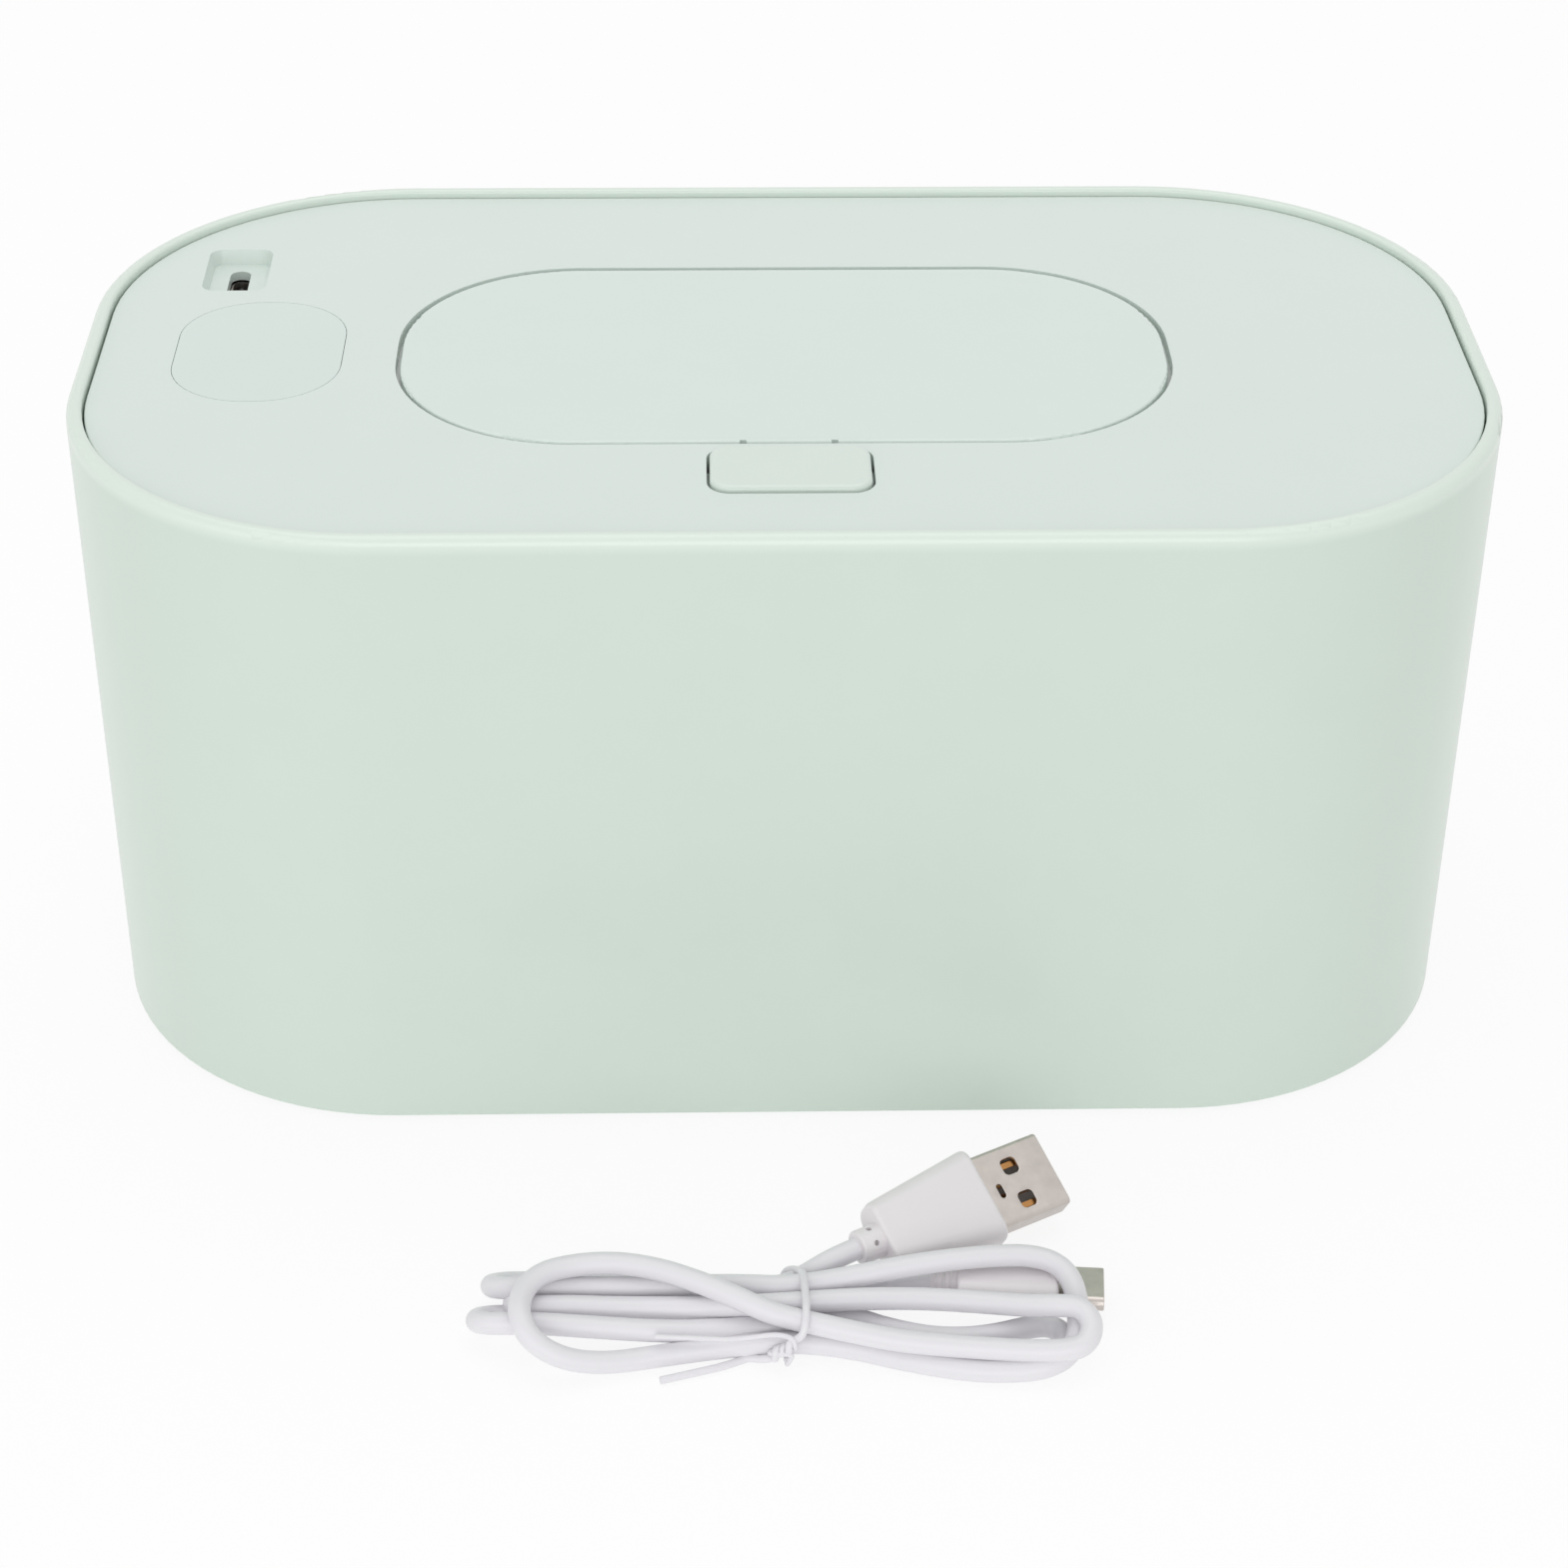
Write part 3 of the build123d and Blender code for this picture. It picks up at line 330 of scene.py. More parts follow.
mint_body = moulded("mint_body", srgb(206, 220, 209), 0.3, Coat_Weight=0.25, Coat_Roughness=0.24)
mint_panel = moulded("mint_panel", srgb(218, 229, 223), 0.3, Coat_Weight=0.25, Coat_Roughness=0.24)
mint_lid = moulded("mint_lid", srgb(218, 230, 224), 0.3, Coat_Weight=0.25, Coat_Roughness=0.24)
mint_button = moulded("mint_button", srgb(217, 229, 221), 0.3, Coat_Weight=0.25, Coat_Roughness=0.24)
tinted_window = moulded("tinted_window", srgb(214, 227, 221), 0.2, Coat_Weight=0.5, Coat_Roughness=0.12)
white_plastic = moulded("white_plastic", srgb(236, 237, 234), 0.34)
liner_plastic = moulded("liner_plastic", srgb(240, 241, 238), 0.3)
silicone = moulded("silicone", srgb(226, 231, 227), 0.5, 500.0, 0.00003)
foot_rubber = moulded("foot_rubber", srgb(86, 88, 88), 0.75, 1400.0, 0.00006)
dark_plastic = moulded("dark_plastic", srgb(38, 40, 42), 0.42)
red_wire = moulded("red_wire", srgb(176, 34, 30), 0.4)
cable_white = moulded("cable_white", srgb(229, 227, 231), 0.4, 1500.0, 0.00001, 0.01)
plug_white = moulded("plug_white", srgb(232, 228, 230), 0.38, 1100.0, 0.00001, 0.01)
aluminium = metal("aluminium", (0.82, 0.83, 0.84), 0.34)
steel = metal("steel", (0.62, 0.62, 0.63), 0.28)
plug_metal = metal("plug_metal", (0.53, 0.485, 0.455), 0.33, (90.0, 700.0, 700.0), 0.18)
contact_gold = metal("contact_gold", (0.44, 0.22, 0.08), 0.3)
grey_plastic = moulded("grey_plastic", srgb(150, 143, 140), 0.45)


def paint_rim_highlight(finish, rim_start, rim_full, rim_highlight_colour):
    """A painted highlight along the top of the rim: the base colour turns lighter above a height, standing
    in for light from above; heights in metres.
    """
    height = finish.axes()[2]
    share = finish.node("ShaderNodeMapRange", {},
                        {"Value": height, "From Min": rim_start, "From Max": rim_full})
    wall_colour = finish.shader.inputs["Base Color"].links[0].from_socket
    finish.set("Base Color", finish.mix(share.outputs[0], wall_colour, rim_highlight_colour))


# Painted highlight: the body's base colour turns lighter along the top of its rim.
paint_rim_highlight(mint_body, 0.1022, 0.1040, srgb(220, 232, 222))


def heating_film_finish():
    """Amber film with a folded copper track under it."""
    finish = Finish("heating_film", srgb(190, 112, 38), 0.3, Coat_Weight=0.5)
    x, y, _ = finish.axes()
    rows = (y * 160.0).part()
    track = (rows - 0.5).size() < 0.28
    ends = (x.size() - 0.088).size() < 0.0016
    finish.set("Base Color", finish.mix(track.either(ends), srgb(196, 120, 44), srgb(176, 92, 52)))
    finish.set("Roughness", finish.noise(40.0) * 0.1 + 0.24)
    finish.relief(track, 0.3, 0.00005)
    return finish


def circuit_board_finish():
    """Green solder mask over tracks, with a faint weave."""
    finish = Finish("circuit_board", srgb(22, 92, 58), 0.35)
    x, y, _ = finish.axes()
    tracks = ((x * 420.0).part() < 0.22).either((y * 380.0).part() < 0.18)
    broken = finish.noise(160.0, 1.0) > 0.5
    finish.set("Base Color", finish.mix(tracks * broken, srgb(18, 84, 52), srgb(44, 128, 78)))
    weave = (x * 2600.0).wave() * (y * 2600.0).wave()
    finish.set("Roughness", finish.noise(90.0) * 0.15 + 0.28)
    finish.relief(weave * 0.3 + tracks * broken, 0.3, 0.00004)
    return finish


heating_film = heating_film_finish()
circuit_board = circuit_board_finish()

# ---------------------------------------------------------------- camera

camera_data = bpy.data.cameras.new("camera")
camera_data.lens = 83.197
camera_data.sensor_width = 36.0
camera_data.shift_x = 0.00142
camera_data.shift_y = -0.08839
camera = bpy.data.objects.new("camera", camera_data)
bpy.context.scene.collection.objects.link(camera)
camera.matrix_world = Matrix((
    (0.99969848, 0.00609732, -0.02378592, -0.01422216),
    (-0.02358433, 0.50808974, -0.86098118, -0.51480084),
    (0.00683570, 0.86128254, 0.50808034, 0.35379316),
    (0.0, 0.0, 0.0, 1.0)))
bpy.context.scene.camera = camera

# ---------------------------------------------------------------- cable: one spline from plug to plug


def fold(first, second, end_x):
    """Control points of a half turn at the left, between two strands that run along X."""
    start, finish = Vector((0, *first)), Vector((0, *second))
    middle = (start + finish) / 2
    radius = (finish - start).length / 2
    across = (finish - start).normalized()
    points = []
    for angle in (112.5, 67.5, 22.5, -22.5, -67.5, -112.5):
        reach = radius / cos(radians(22.5))
        point = middle - across * (reach * sin(radians(angle)))
        points.append((end_x + radius - reach * cos(radians(angle)), point.y, point.z))
    return points


cable_route = [
    (9.2, -100.9, 6.5), (5.4, -103.1, 6.4), (1.9, -104.5, 4.9), (-1.4, -105.2, 3.1),
    # back lane to the upper fold, and back over it
    (-7.0, -104.5, 1.9), (-16.0, -103.4, 1.65), (-27.0, -102.5, 1.65), (-36.0, -102.2, 1.65),
    *fold((-102.2, 1.65), (-107.9, 5.5), -44.6),
    (-36.0, -107.6, 5.4), (-30.0, -107.3, 5.0), (-23.0, -107.6, 5.2), (-15.7, -107.9, 5.6),
    (-8.4, -108.3, 6.0), (-1.0, -108.7, 5.8),
    # first loop, over the small plug and down around its end
    (8.2, -107.4, 6.6), (15.3, -106.3, 7.4), (22.2, -105.3, 7.8), (29.1, -104.6, 7.9), (34.2, -104.5, 7.8),
    (38.0, -105.6, 7.3), (40.1, -108.4, 6.3), (40.6, -112.5, 5.0), (40.3, -117.3, 3.7), (38.5, -120.9, 2.9),
    (35.0, -122.5, 2.1), (30.5, -122.6, 1.65), (24.0, -122.3, 1.65), (14.7, -119.8, 1.65),
    (7.9, -117.6, 2.0), (-0.9, -116.9, 2.8),
    # wide open loop on the left, over the rest
    (-11.5, -117.0, 1.8), (-20.3, -118.6, 1.7), (-27.5, -120.5, 2.1), (-33.6, -121.3, 3.6),
    (-38.2, -120.3, 6.2), (-40.2, -116.9, 8.1), (-39.8, -112.0, 8.6), (-37.0, -108.3, 8.8),
    (-32.0, -106.3, 8.5), (-26.4, -106.2, 8.7), (-20.6, -107.8, 8.9), (-15.0, -110.4, 8.8),
    (-9.2, -113.3, 8.2), (-4.4, -115.3, 6.9), (-0.9, -115.8, 6.0),
    # second loop, on top at the right
    (7.8, -118.1, 5.4), (14.6, -119.4, 4.7), (21.3, -120.2, 4.5), (28.0, -120.9, 4.4), (33.5, -121.4, 4.4),
    (37.6, -121.6, 4.6), (40.9, -121.1, 5.0), (42.3, -118.1, 6.2), (40.8, -115.2, 7.2), (37.2, -114.6, 7.0),
    (33.2, -113.6, 6.1), (28.6, -112.2, 5.4), (21.8, -111.2, 5.3), (15.0, -110.9, 5.4), (8.1, -111.2, 5.6),
    (-1.0, -112.2, 5.8),
    # low fold inside the others
    (-8.4, -112.3, 5.4), (-16.0, -112.0, 5.0), (-26.0, -111.4, 4.6), (-33.0, -111.3, 4.9),
    *fold((-111.4, 5.0), (-106.0, 1.65), -41.2),
    (-33.0, -105.8, 1.65), (-27.0, -105.7, 1.65), (-20.0, -106.3, 2.0), (-13.0, -108.2, 3.5),
    (-7.0, -110.4, 3.8), (-0.9, -110.6, 2.8),
    # third loop, flat on the floor at the right
    (9.2, -111.6, 2.0), (12.3, -113.0, 1.7), (18.3, -115.0, 1.65), (23.5, -115.5, 1.65),
    (28.6, -114.8, 1.65), (33.6, -113.1, 1.65), (36.6, -112.8, 1.65), (38.5, -114.6, 1.65),
    (38.5, -117.4, 1.65), (36.6, -119.3, 1.65), (33.4, -119.4, 1.65), (27.0, -118.9, 1.65),
    (19.0, -118.0, 1.65),
    (12.0, -116.2, 1.8), (6.0, -114.4, 2.4), (-0.9, -113.6, 2.8),
    # lower fold
    (-9.8, -114.9, 3.4), (-15.7, -115.6, 3.7), (-21.0, -115.8, 4.0), (-28.6, -115.4, 4.4),
    (-37.0, -115.0, 4.9), *fold((-115.0, 5.0), (-109.6, 1.65), -46.4),
    (-37.0, -109.5, 1.65), (-30.0, -109.5, 1.65), (-22.0, -109.7, 1.65), (-14.0, -109.6, 1.65),
    (-7.0, -108.2, 1.65), (-0.9, -107.4, 2.5),
    # out to the small plug
    (6.0, -106.6, 2.4), (13.0, -105.1, 2.6), (20.3, -104.5, 3.0)]


def laid_curve(name, points, diameter, steps_per_point=8):
    """A round cord along one smooth spline; the points are its control points, in millimetres."""
    curve = bpy.data.curves.new(name, "CURVE")
    curve.dimensions = "3D"
    curve.bevel_depth = diameter * MM / 2
    curve.bevel_resolution = 7
    curve.resolution_u = steps_per_point
    curve.render_resolution_u = steps_per_point
    curve.use_fill_caps = True
    spline = curve.splines.new("NURBS")
    spline.points.add(len(points) - 1)
    for point, place in zip(spline.points, points):
        point.co = (*[v * MM for v in place], 1.0)
    spline.order_u = 3
    spline.use_endpoint_u = True
    piece = bpy.data.objects.new(name, curve)
    bpy.context.scene.collection.objects.link(piece)
    return piece


cable = laid_curve("usb_cable", cable_route, cable_diameter)
cable.data.materials.append(cable_white.material)
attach(cable, "tub")
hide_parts("cable_hank", "cable_lead")

# ---------------------------------------------------------------- large plug

shell_long, shell_wide, shell_tall = usb_a_shell_size
plug_frame = heading_frame(usb_a_tip, usb_a_heading, usb_a_roll)
own_axes = Matrix.Identity(4)
sheet = 0.3
window_size = 2.5
window_ys = (2.55, -3.1)
window_x = -6.4
slot_place = (-9.7, -0.6)


def eased_sections(start, end, width_pair, height_pair, radius, ease_start, ease_end, steps=5):
    """Sections of a tapering grip whose two ends are rounded off; start is the rear, end the front."""
    stations = []
    for step in range(steps + 1):
        angle = pi / 2 * step / steps
        stations.append((start + ease_start * (1 - cos(angle)), ease_start * (1 - sin(angle))))
    for step in range(steps, -1, -1):
        angle = pi / 2 * step / steps
        stations.append((end - ease_end * (1 - cos(angle)), ease_end * (1 - sin(angle))))
    sections = []
    for along, drawn_in in stations:
        share = (along - start) / (end - start)
        width = width_pair[0] + (width_pair[1] - width_pair[0]) * share - 2 * drawn_in
        height = height_pair[0] + (height_pair[1] - height_pair[0]) * share - 2 * drawn_in
        sections.append((along, width, height, max(radius - drawn_in, 0.2)))
    return sections


grip = bmesh.new()
grip_rear = -shell_long - usb_a_grip_length
skin_rings(grip, section_rings(plug_frame, eased_sections(grip_rear, -shell_long, (10.8, 15.4), (6.4, 7.6),
                                                          2.4, 0.7, 0.9), 8))
outward(grip)
usb_a_grip = keep("usb_a_grip_moulding", grip, "tub", [plug_white], ["usb_a_grip"])


def tube_sections(rear, front, width, height, radius, wall, depth):
    """Outside of a pressed metal tube from its rear to a rolled front rim, then inside it to a depth."""
    inner = max(radius - wall, 0.1)
    return [(rear, width, height, radius), (front - 0.22, width, height, radius),
            (front - 0.06, width - 0.08, height - 0.08, radius),
            (front, width - 0.24, height - 0.24, radius),
            (front, width - 2 * wall + 0.1, height - 2 * wall + 0.1, inner),
            (front - 0.1, width - 2 * wall, height - 2 * wall, inner),
            (front - depth, width - 2 * wall, height - 2 * wall, inner)]


def loose_object(name, builder):
    """A throw-away object in a plug's own axes, for cutting."""
    mesh = bpy.data.meshes.new(name)
    builder.to_mesh(mesh)
    builder.free()
    made = bpy.data.objects.new(name, mesh)
    bpy.context.scene.collection.objects.link(made)
    return made


def cut_away(body, cutters):
    """The body's mesh with every cutter taken out of it; the objects themselves are thrown away."""
    for cutter in cutters:
        modifier = body.modifiers.new("cut", "BOOLEAN")
        modifier.operation = "DIFFERENCE"
        modifier.solver = "EXACT"
        modifier.object = cutter
    result = bpy.data.meshes.new_from_object(body.evaluated_get(bpy.context.evaluated_depsgraph_get()))
    for thing in [body, *cutters]:
        bpy.data.objects.remove(thing)
    return result


def rounded_cutter(name, centre, size, radius, low, high):
    """An upright rounded prism in a plug's own axes."""
    builder = bmesh.new()
    outline = rounded_outline(size[0], size[1], radius, 5)
    skin_rings(builder, [[Vector((centre[0] + x, centre[1] + y, z)) for x, y in outline]
                         for z in (low, high)])
    outward(builder)
    return loose_object(name, builder)


collar = bmesh.new()
collar_rear = grip_rear - usb_a_collar_length
skin_rings(collar, section_rings(own_axes, [
    (collar_rear, 4.4, 4.4, 2.2), (collar_rear + 0.12, 4.9, 4.9, 2.45), (collar_rear + 0.35, 5.2, 5.2, 2.6),
    (grip_rear - 0.5, 5.2, 5.2, 2.6), (grip_rear + 0.4, 5.2, 5.2, 2.6)], 8))
outward(collar)
pin_hole_radius = 0.42
pins = []
for turn in (-6, 52):
    pin = bmesh.new()
    place = Matrix.Translation((grip_rear - 1.6, 0, 0)) @ Matrix.Rotation(radians(turn), 4, "X")
    bmesh.ops.create_cone(pin, segments=20, radius1=pin_hole_radius, radius2=pin_hole_radius, depth=3.0,
                          cap_ends=True, matrix=place @ Matrix.Translation((0, 0, 3.1)))
    pins.append(loose_object("pin_cut", pin))
collar_mesh = cut_away(loose_object("collar_blank", collar), pins)
collar = bmesh.new()
collar.from_mesh(collar_mesh)
collar.transform(heading_frame(usb_a_tip, usb_a_heading))
usb_a_collar = keep("usb_a_collar_moulding", collar, "tub", [plug_white], ["usb_a_collar"])


shell = bmesh.new()
shell_sections = tube_sections(-shell_long - 0.02, 0.0, shell_wide, shell_tall, 0.7, sheet, shell_long - 0.4)
skin_rings(shell, section_rings(own_axes, shell_sections, 5))
outward(shell)
cuts = [rounded_cutter("window_cut", (window_x, y), (window_size, window_size), 0.7, -4.0, 4.0)
        for y in window_ys]
cuts.append(rounded_cutter("slot_cut", slot_place, (0.8, 2.2), 0.39, 0.5, 4.0))
shell_mesh = cut_away(loose_object("usb_a_blank", shell), cuts)
edger = bmesh.new()
edger.from_mesh(shell_mesh)
# the pressed lips round the windows and the slot, on the shell's upper face only
near_holes = {v for v in edger.verts
              if abs(v.co.z - shell_tall / 2) < 1e-4 and -10.5 < v.co.x < -4.0 and abs(v.co.y) < 5.0}
lips = [edge for edge in edger.edges
        if near_holes.issuperset(edge.verts) and len(edge.link_faces) == 2 and edge.calc_face_angle(0) > 1.0]
bmesh.ops.bevel(edger, geom=lips, offset=0.24, segments=2, affect="EDGES", profile=0.5)
edger.transform(plug_frame)
usb_a_shell = keep("usb_a_shell_metal", edger, "tub", [plug_metal], ["usb_a_shell"])

tongue = bmesh.new()
skin_rings(tongue, section_rings(own_axes, [(-shell_long + 0.5, 11.2, 1.5, 0.2), (-1.3, 11.2, 1.5, 0.2),
                                            (-1.0, 10.9, 1.2, 0.2)], 3), material=0)
for vert in tongue.verts:
    vert.co.z -= 1.0
for y, low, rear, front in ((-3.5, -0.2, 0.6, -1.9), (-1.0, -0.2, 0.6, -1.9), (1.0, -0.2, 0.6, -1.9),
                            (3.5, -0.2, 0.6, -1.9), (3.0, 1.35, 2.8, -4.2), (-3.7, 1.35, 2.8, -4.2)):
    contact = [(-shell_long + rear, 0.95, 0.2, 0.05), (front - 0.5, 0.95, 0.2, 0.05),
               (front, 0.7, 0.1, 0.05)]
    skin_rings(tongue, section_rings(Matrix.Translation((0, y, low)), contact, 2), material=1)
outward(tongue)
tongue.transform(plug_frame)
usb_a_tongue = keep("usb_a_contacts", tongue, "tub", [grey_plastic, contact_gold], ["usb_a_tongue"])

# ---------------------------------------------------------------- small plug

c_frame = heading_frame(usb_c_tip, usb_c_heading)
c_long, c_wide, c_tall = usb_c_shell_size
c_grip_rear = -c_long - usb_c_grip_length
c_exit = c_grip_rear - usb_c_relief_length

c_shell = bmesh.new()
c_sections = tube_sections(-c_long - 0.02, 0.0, c_wide, c_tall, 1.19, sheet, 5.6)
skin_rings(c_shell, section_rings(c_frame, c_sections, 8))
outward(c_shell)
usb_c_shell = keep("usb_c_shell_metal", c_shell, "tub", [plug_metal], ["usb_c_shell"])

c_grip = bmesh.new()
skin_rings(c_grip, section_rings(c_frame, eased_sections(c_grip_rear, -c_long, (10.0, 10.2), (5.6, 5.6), 2.6,
                                                         0.5, 0.6), 8))
outward(c_grip)
usb_c_grip = keep("usb_c_grip_moulding", c_grip, "tub", [plug_white], ["usb_c_grip"])

c_relief = bmesh.new()
relief_rings = [(c_exit, 3.5, 3.5, 1.74), (c_exit + 0.3, 4.1, 4.1, 2.04)]
for rib in range(3):
    start = c_exit + 0.6 + 1.1 * rib
    size = 4.3 + 0.2 * rib
    for along, waist in ((start, size), (start + 0.1, size - 0.3), (start + 0.4, size - 0.3),
                         (start + 0.5, size)):
        relief_rings.append((along, waist, waist, waist / 2 - 0.01))
relief_rings.append((c_grip_rear + 0.4, 4.9, 4.9, 2.44))
skin_rings(c_relief, section_rings(c_frame, relief_rings, 8))
outward(c_relief)
usb_c_relief = keep("usb_c_relief_moulding", c_relief, "tub", [plug_white], ["usb_c_relief"])

# ---------------------------------------------------------------- twist tie

knot_start = Vector((-0.6, -119.6, 4.6))
knot_end = Vector((-4.0, -119.4, 2.2))


def knot_strand(phase, steps=13, turns=1.75, radius=0.6):
    """One of the two wires that turn around each other along the knot."""
    along = (knot_end - knot_start).normalized()
    side = along.cross(Vector((0, 0, 1))).normalized()
    over = side.cross(along)
    points = []
    for step in range(steps):
        angle = phase + 2 * pi * turns * step / (steps - 1)
        centre = knot_start.lerp(knot_end, step / (steps - 1))
        points.append(tuple(centre + side * (radius * cos(angle)) + over * (radius * sin(angle))))
    return points


tie_loop = [
    # on the floor under the bundle, up behind it and over it
    (-1.6, -118.6, 0.62), (-1.6, -112.0, 0.62), (-1.7, -106.0, 0.62), (-1.9, -103.2, 0.7),
    (-2.0, -102.7, 2.4), (-1.5, -102.9, 4.0), (-0.5, -103.6, 4.9), (0.5, -105.6, 6.3), (0.9, -108.4, 8.0),
    (1.0, -112.0, 8.2), (1.1, -115.4, 8.4), (1.0, -117.8, 7.6), (0.6, -119.3, 6.0),
    # the knot, and out along the floor
    *knot_strand(0.3), (-5.4, -119.2, 1.4), (-7.2, -118.2, 0.9), (-8.4, -118.6, 0.7),
    (-10.6, -119.6, 0.65), (-13.7, -120.6, 0.62), (-17.0, -121.6, 0.62), (-19.9, -122.5, 0.62)]
tie_end = [
    # the loop's other end, back through the knot and out over the front strand
    (-1.7, -119.5, 0.75), (-1.3, -120.3, 2.2), (-0.9, -120.5, 3.6), *reversed(knot_strand(0.3 + pi)),
    (-0.9, -119.4, 5.6), (-3.4, -118.6, 5.6), (-6.5, -118.4, 4.9), (-10.0, -118.5, 4.6),
    (-13.3, -118.4, 4.7), (-17.0, -118.4, 5.0), (-20.6, -118.4, 5.2)]
tie = bmesh.new()
for wire_name, wire_points, wire_size in (("tie_loop", tie_loop, 1.15), ("tie_end", tie_end, 0.75)):
    wire = laid_curve(wire_name, wire_points, wire_size, 6)
    tie.from_mesh(bpy.data.meshes.new_from_object(wire.evaluated_get(bpy.context.evaluated_depsgraph_get())))
    bpy.data.objects.remove(wire)
outward(tie)
twist_tie = keep("twist_tie_wire", tie, "tub", [cable_white], ["twist_tie"])

# ---------------------------------------------------------------- screws and board parts


def screw_blank(name, head_radius, head_height, shank_radius, shank_length):
    """A pan-head screw with a spiral thread and a cross recess, its head's underside at the origin."""
    builder = bmesh.new()
    spokes = 24
    pitch = shank_radius * 0.75

    def ring(height, radius_of):
        return [Vector((radius_of(2 * pi * i / spokes) * cos(2 * pi * i / spokes),
                        radius_of(2 * pi * i / spokes) * sin(2 * pi * i / spokes), height)) * MM
                for i in range(spokes)]

    rings = [ring(-shank_length, lambda angle: shank_radius * 0.3)]
    levels = int((shank_length - 0.9) / pitch * 6)
    for level in range(levels + 1):
        height = -shank_length + 0.5 + level * pitch / 6
        rings.append(ring(height, lambda angle: shank_radius * (0.88 + 0.12 * cos(
            2 * pi * height / pitch - angle))))
    for height, radius in ((-0.2, shank_radius), (0.0, shank_radius), (0.0, head_radius * 0.95),
                           (0.12, head_radius), (head_height * 0.55, head_radius * 0.97),
                           (head_height * 0.82, head_radius * 0.82), (head_height, head_radius * 0.5)):
        rings.append(ring(height, lambda angle: radius))
    skin_rings(builder, rings)
    outward(builder)
    long, wide = head_radius * 0.58, head_radius * 0.13
    cross = [(long, wide), (wide, wide), (wide, long), (-wide, long), (-wide, wide), (-long, wide),
             (-long, -wide), (-wide, -wide), (-wide, -long), (wide, -long), (wide, -wide), (long, -wide)]
    recess = bmesh.new()
    skin_rings(recess, [[Vector((x * share, y * share, height)) * MM for x, y in cross]
                        for share, height in ((0.6, head_height * 0.3), (1.1, head_height * 1.2))])
    outward(recess)
    mesh = cut_away(loose_object(name + "_body", builder), [loose_object(name + "_recess", recess)])
    return bpy.data.objects.new(name, mesh)


def block_blank(name, size, edge):
    """A small block with bevelled edges, standing on the origin."""
    builder = bmesh.new()
    outline = rounded_outline(size[0], size[1], min(edge, size[0] / 2.2, size[1] / 2.2), 2)
    inset = rounded_outline(size[0] - edge, size[1] - edge, min(edge, size[0] / 2.2, size[1] / 2.2) / 2, 2)
    skin_rings(builder, [[Vector((x, y, 0)) * MM for x, y in outline],
                         [Vector((x, y, size[2] - edge / 2)) * MM for x, y in outline],
                         [Vector((x, y, size[2])) * MM for x, y in inset]])
    outward(builder)
    mesh = bpy.data.meshes.new(name)
    builder.to_mesh(mesh)
    builder.free()
    return bpy.data.objects.new(name, mesh)


def placing_tree():
    """Puts one blank at each point, turned at random about Z within a limit, as real geometry."""
    tree = bpy.data.node_groups.new("place_blanks", "GeometryNodeTree")
    for label, kind in (("Places", "NodeSocketGeometry"), ("Blank", "NodeSocketObject"),
                        ("Tilt", "NodeSocketFloat"), ("Turn Limit", "NodeSocketFloat"),
                        ("Seed", "NodeSocketInt"), ("Material", "NodeSocketMaterial")):
        tree.interface.new_socket(label, in_out="INPUT", socket_type=kind)
    tree.interface.new_socket("Geometry", in_out="OUTPUT", socket_type="NodeSocketGeometry")
    given = tree.nodes.new("NodeGroupInput")
    made = tree.nodes.new("NodeGroupOutput")
    blank = tree.nodes.new("GeometryNodeObjectInfo")
    chance = tree.nodes.new("FunctionNodeRandomValue")
    chance.data_type = "FLOAT"
    turn = tree.nodes.new("ShaderNodeCombineXYZ")
    place = tree.nodes.new("GeometryNodeInstanceOnPoints")
    real = tree.nodes.new("GeometryNodeRealizeInstances")
    painted = tree.nodes.new("GeometryNodeSetMaterial")
    for source, target in ((given.outputs["Blank"], blank.inputs["Object"]),
                           (given.outputs["Turn Limit"], chance.inputs[3]),
                           (given.outputs["Seed"], chance.inputs["Seed"]),
                           (given.outputs["Tilt"], turn.inputs["X"]), (chance.outputs[1], turn.inputs["Z"]),
                           (given.outputs["Places"], place.inputs["Points"]),
                           (blank.outputs["Geometry"], place.inputs["Instance"]),
                           (turn.outputs[0], place.inputs["Rotation"]),
                           (place.outputs[0], real.inputs[0]), (real.outputs[0], painted.inputs["Geometry"]),
                           (given.outputs["Material"], painted.inputs["Material"]),
                           (painted.outputs[0], made.inputs[0])):
        tree.links.new(source, target)
    return tree


place_blanks = placing_tree()


def placed(name, blank, places, finish, nodes=(), tilt=0.0, turn_limit=0.0, seed=1):
    """One plain mesh on the cover with the blank at every place, in millimetres."""
    points = bpy.data.meshes.new(name + "_places")
    points.from_pydata([tuple(v * MM for v in place) for place in places], [], [])
    holder = bpy.data.objects.new(name + "_places", points)
    bpy.context.scene.collection.objects.link(holder)
    bpy.context.scene.collection.objects.link(blank)
    modifier = holder.modifiers.new("place blanks", "NODES")
    modifier.node_group = place_blanks
    values = {"Blank": blank, "Tilt": tilt, "Turn Limit": turn_limit, "Seed": seed,
              "Material": finish.material}
    for item in place_blanks.interface.items_tree:
        if item.in_out == "INPUT" and item.name in values:
            modifier[item.identifier] = values[item.name]
    mesh = bpy.data.meshes.new_from_object(holder.evaluated_get(bpy.context.evaluated_depsgraph_get()))
    holder.modifiers.remove(modifier)
    bpy.data.objects.remove(holder)
    bpy.data.objects.remove(blank)
    return settle(name, mesh, "cover", [finish], nodes)


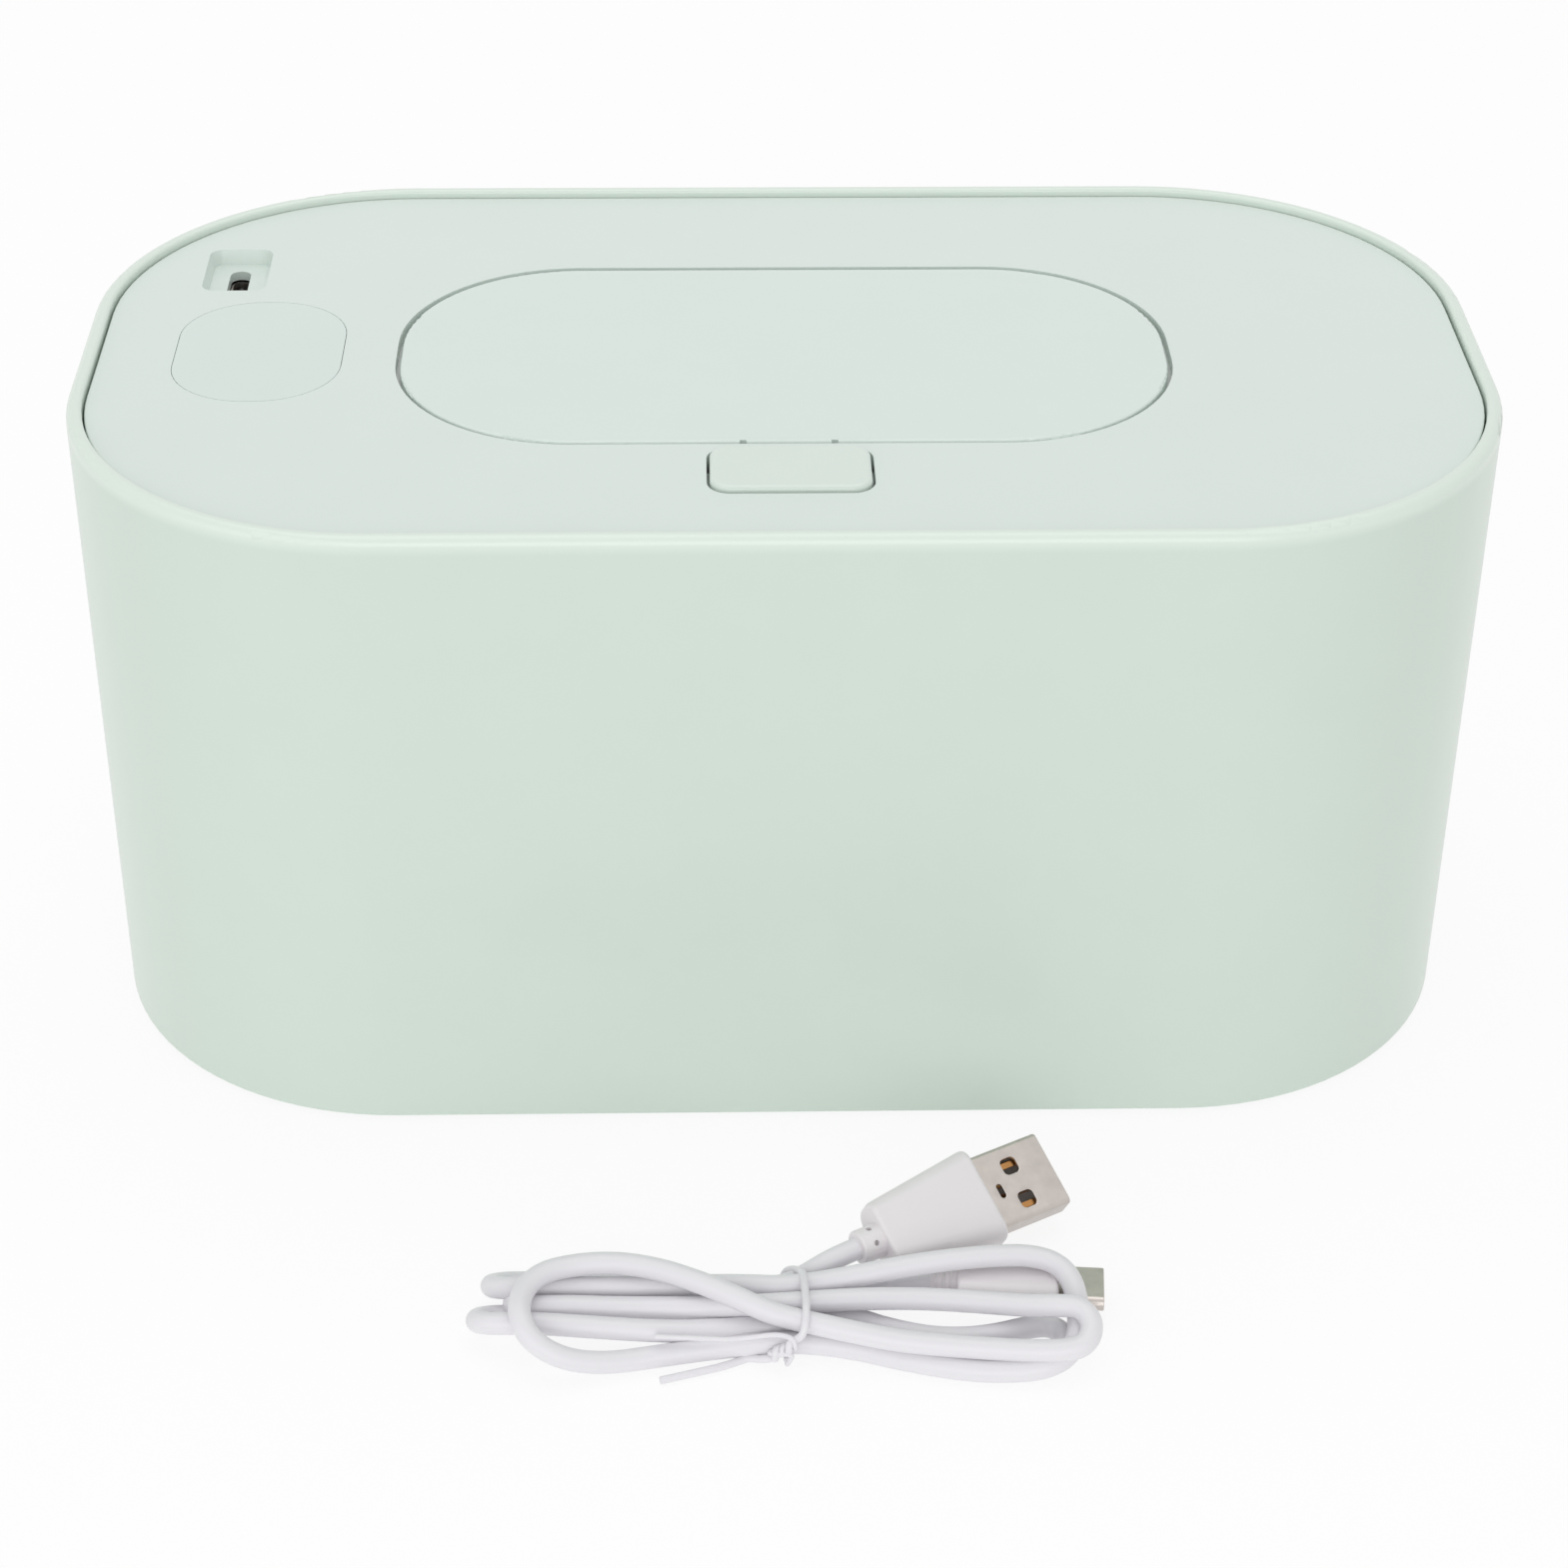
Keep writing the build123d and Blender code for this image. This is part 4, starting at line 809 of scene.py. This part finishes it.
cover_screw_seat = 81.3
heater_screw_seat = 78.0
board_top = 88.6
placed("cover_screw_set", screw_blank("cover_screw", 2.4, 1.3, 1.2, 12.99),
       [(x, y, cover_screw_seat) for x, y in ((74, 42), (-74, 42), (74, -42), (-74, -42), (40, 51),
                                              (-40, 51), (30, -52), (-30, -52))],
       steel, ["cover_screws"], tilt=pi, turn_limit=2 * pi, seed=3)
placed("heater_screw_set", screw_blank("heater_screw", 1.9, 1.1, 0.9, 8.69),
       [(x, y, heater_screw_seat) for x in (-62, 62) for y in (-22, 22)],
       steel, ["heater_screws"], tilt=pi, turn_limit=2 * pi, seed=5)
placed("board_screw_set", screw_blank("board_screw", 1.9, 1.1, 0.9, 6.29),
       [(x, y, board_top) for x, y in ((-96, -18), (-70, -20), (-96, 22), (-70, 32))],
       steel, ["board_screws"], turn_limit=2 * pi, seed=7)

chip_at = (-81.0, 18.0)
small_parts = [(-100.5, -8.0 + 3.2 * i) for i in range(7)] + [(-97.0, -8.0 + 3.2 * i) for i in range(7)] + [
    (-91.0 + 3.4 * i, -19.5) for i in range(6)]
placed("board_parts", block_blank("small_part", (2.0, 1.25, 0.9), 0.15),
       [(x, y, board_top) for x, y in small_parts], dark_plastic)
placed("board_solder", block_blank("solder_end", (0.5, 1.45, 0.5), 0.12),
       [(x + side * 1.15, y, board_top) for x, y in small_parts for side in (-1, 1)], steel)
placed("board_chip", block_blank("chip", (9.0, 7.0, 1.6), 0.3), [(*chip_at, board_top)], dark_plastic)
placed("board_chip_legs", block_blank("chip_leg", (0.45, 1.3, 0.5), 0.1),
       [(chip_at[0] - 3.6 + 0.9 * i, chip_at[1] + side * 4.1, board_top)
        for i in range(9) for side in (-1, 1)], steel)

# ---------------------------------------------------------------- the part's own solids, smooth and finished

for node, body, finish, slot in (
        ("outer_shell", "tub", mint_body, "mint_plastic"),
        ("inner_liner", "tub", liner_plastic, "white_plastic"),
        ("top_panel", "cover", mint_panel, "mint_plastic"),
        ("display_window", "cover", tinted_window, "window"),
        ("dispenser_deck", "cover", white_plastic, "white_plastic"),
        ("dispensing_mouth", "cover", silicone, "silicone"),
        ("cover_frame", "cover", white_plastic, "white_plastic"),
        ("flip_lid", "lid", mint_lid, "mint_plastic"),
        ("button", "button", mint_button, "mint_plastic")):
    dressed(node, body, finish)

node_finishes = {
    "rubber_feet": foot_rubber, "cover_gasket": silicone, "lid_seal": silicone,
    "heater_plate": aluminium, "heating_film": heating_film,
    "temperature_sensor": dark_plastic, "thermal_fuse": dark_plastic, "heater_wires": red_wire,
    "control_board": circuit_board, "display_module": dark_plastic, "touch_spring": steel,
    "usb_socket": plug_metal, "usb_socket_tongue": dark_plastic, "hinge_pin": steel, "hinge_spring": steel,
    "button_springs": steel, "lid_catch": white_plastic}
for node, finish in node_finishes.items():
    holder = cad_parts[node]
    holder.data.materials.clear()
    holder.data.materials.append(finish.material)

# ---------------------------------------------------------------- floor, world and lamps

floor_glow = 0.86
floor_bounce = 0.35
floor_builder = bmesh.new()
bmesh.ops.create_grid(floor_builder, x_segments=1, y_segments=1, size=6.0,
                      matrix=Matrix.Translation((0.0, 0.0, -0.0002)))
floor_mesh = bpy.data.meshes.new("floor")
floor_builder.to_mesh(floor_mesh)
floor_builder.free()
floor = bpy.data.objects.new("floor", floor_mesh)
bpy.context.scene.collection.objects.link(floor)
floor_finish = Finish("pale_floor", srgb(252, 252, 252), 0.9)
floor_finish.set("Roughness", floor_finish.noise(3.0) * 0.05 + 0.85)
glow = floor_finish.node("ShaderNodeEmission", {}, {"Color": (1.0, 1.0, 1.0, 1.0), "Strength": 1.0})
glow_share = floor_finish.seen_directly() * (floor_glow - floor_bounce) + floor_bounce
lit = floor_finish.node("ShaderNodeMixShader", {}, {0: glow_share, 1: floor_finish.shader.outputs[0],
                                                    2: glow.outputs[0]})
floor_finish.tree.links.new(lit.outputs[0], floor_finish.output.inputs[0])
floor_mesh.materials.append(floor_finish.material)

world = bpy.data.worlds.new("studio")
world.use_nodes = True
bpy.context.scene.world = world
sky = Finish.on_tree(world.node_tree)
backgrounds = [sky.node("ShaderNodeBackground", {}, {"Color": (1.0, 1.0, 1.0, 1.0), "Strength": strength})
               for strength in (0.62, 1.0)]
sky_mix = sky.node("ShaderNodeMixShader", {}, {0: sky.seen_directly(), 1: backgrounds[0].outputs[0],
                                               2: backgrounds[1].outputs[0]})
sky.node("ShaderNodeOutputWorld", {}, {"Surface": sky_mix.outputs[0]})


def soft_lamp(name, place, target, size, power):
    """A square soft box aimed at a point; places in metres."""
    lamp = bpy.data.lights.new(name, "AREA")
    lamp.size = size
    lamp.energy = power
    holder = bpy.data.objects.new(name, lamp)
    holder.location = place
    holder.rotation_euler = (Vector(target) - Vector(place)).to_track_quat("-Z", "Y").to_euler()
    bpy.context.scene.collection.objects.link(holder)


soft_lamp("overhead_box", (0.0, 0.35, 1.3), (0.0, 0.0, 0.05), 1.2, 5.0)
soft_lamp("left_box", (-0.9, -0.8, 0.5), (0.0, 0.0, 0.05), 0.8, 1.4)
soft_lamp("front_box", (0.0, -1.3, 0.36), (0.0, 0.0, 0.02), 1.0, 4.6)

bpy.context.scene.view_settings.view_transform = "Standard"
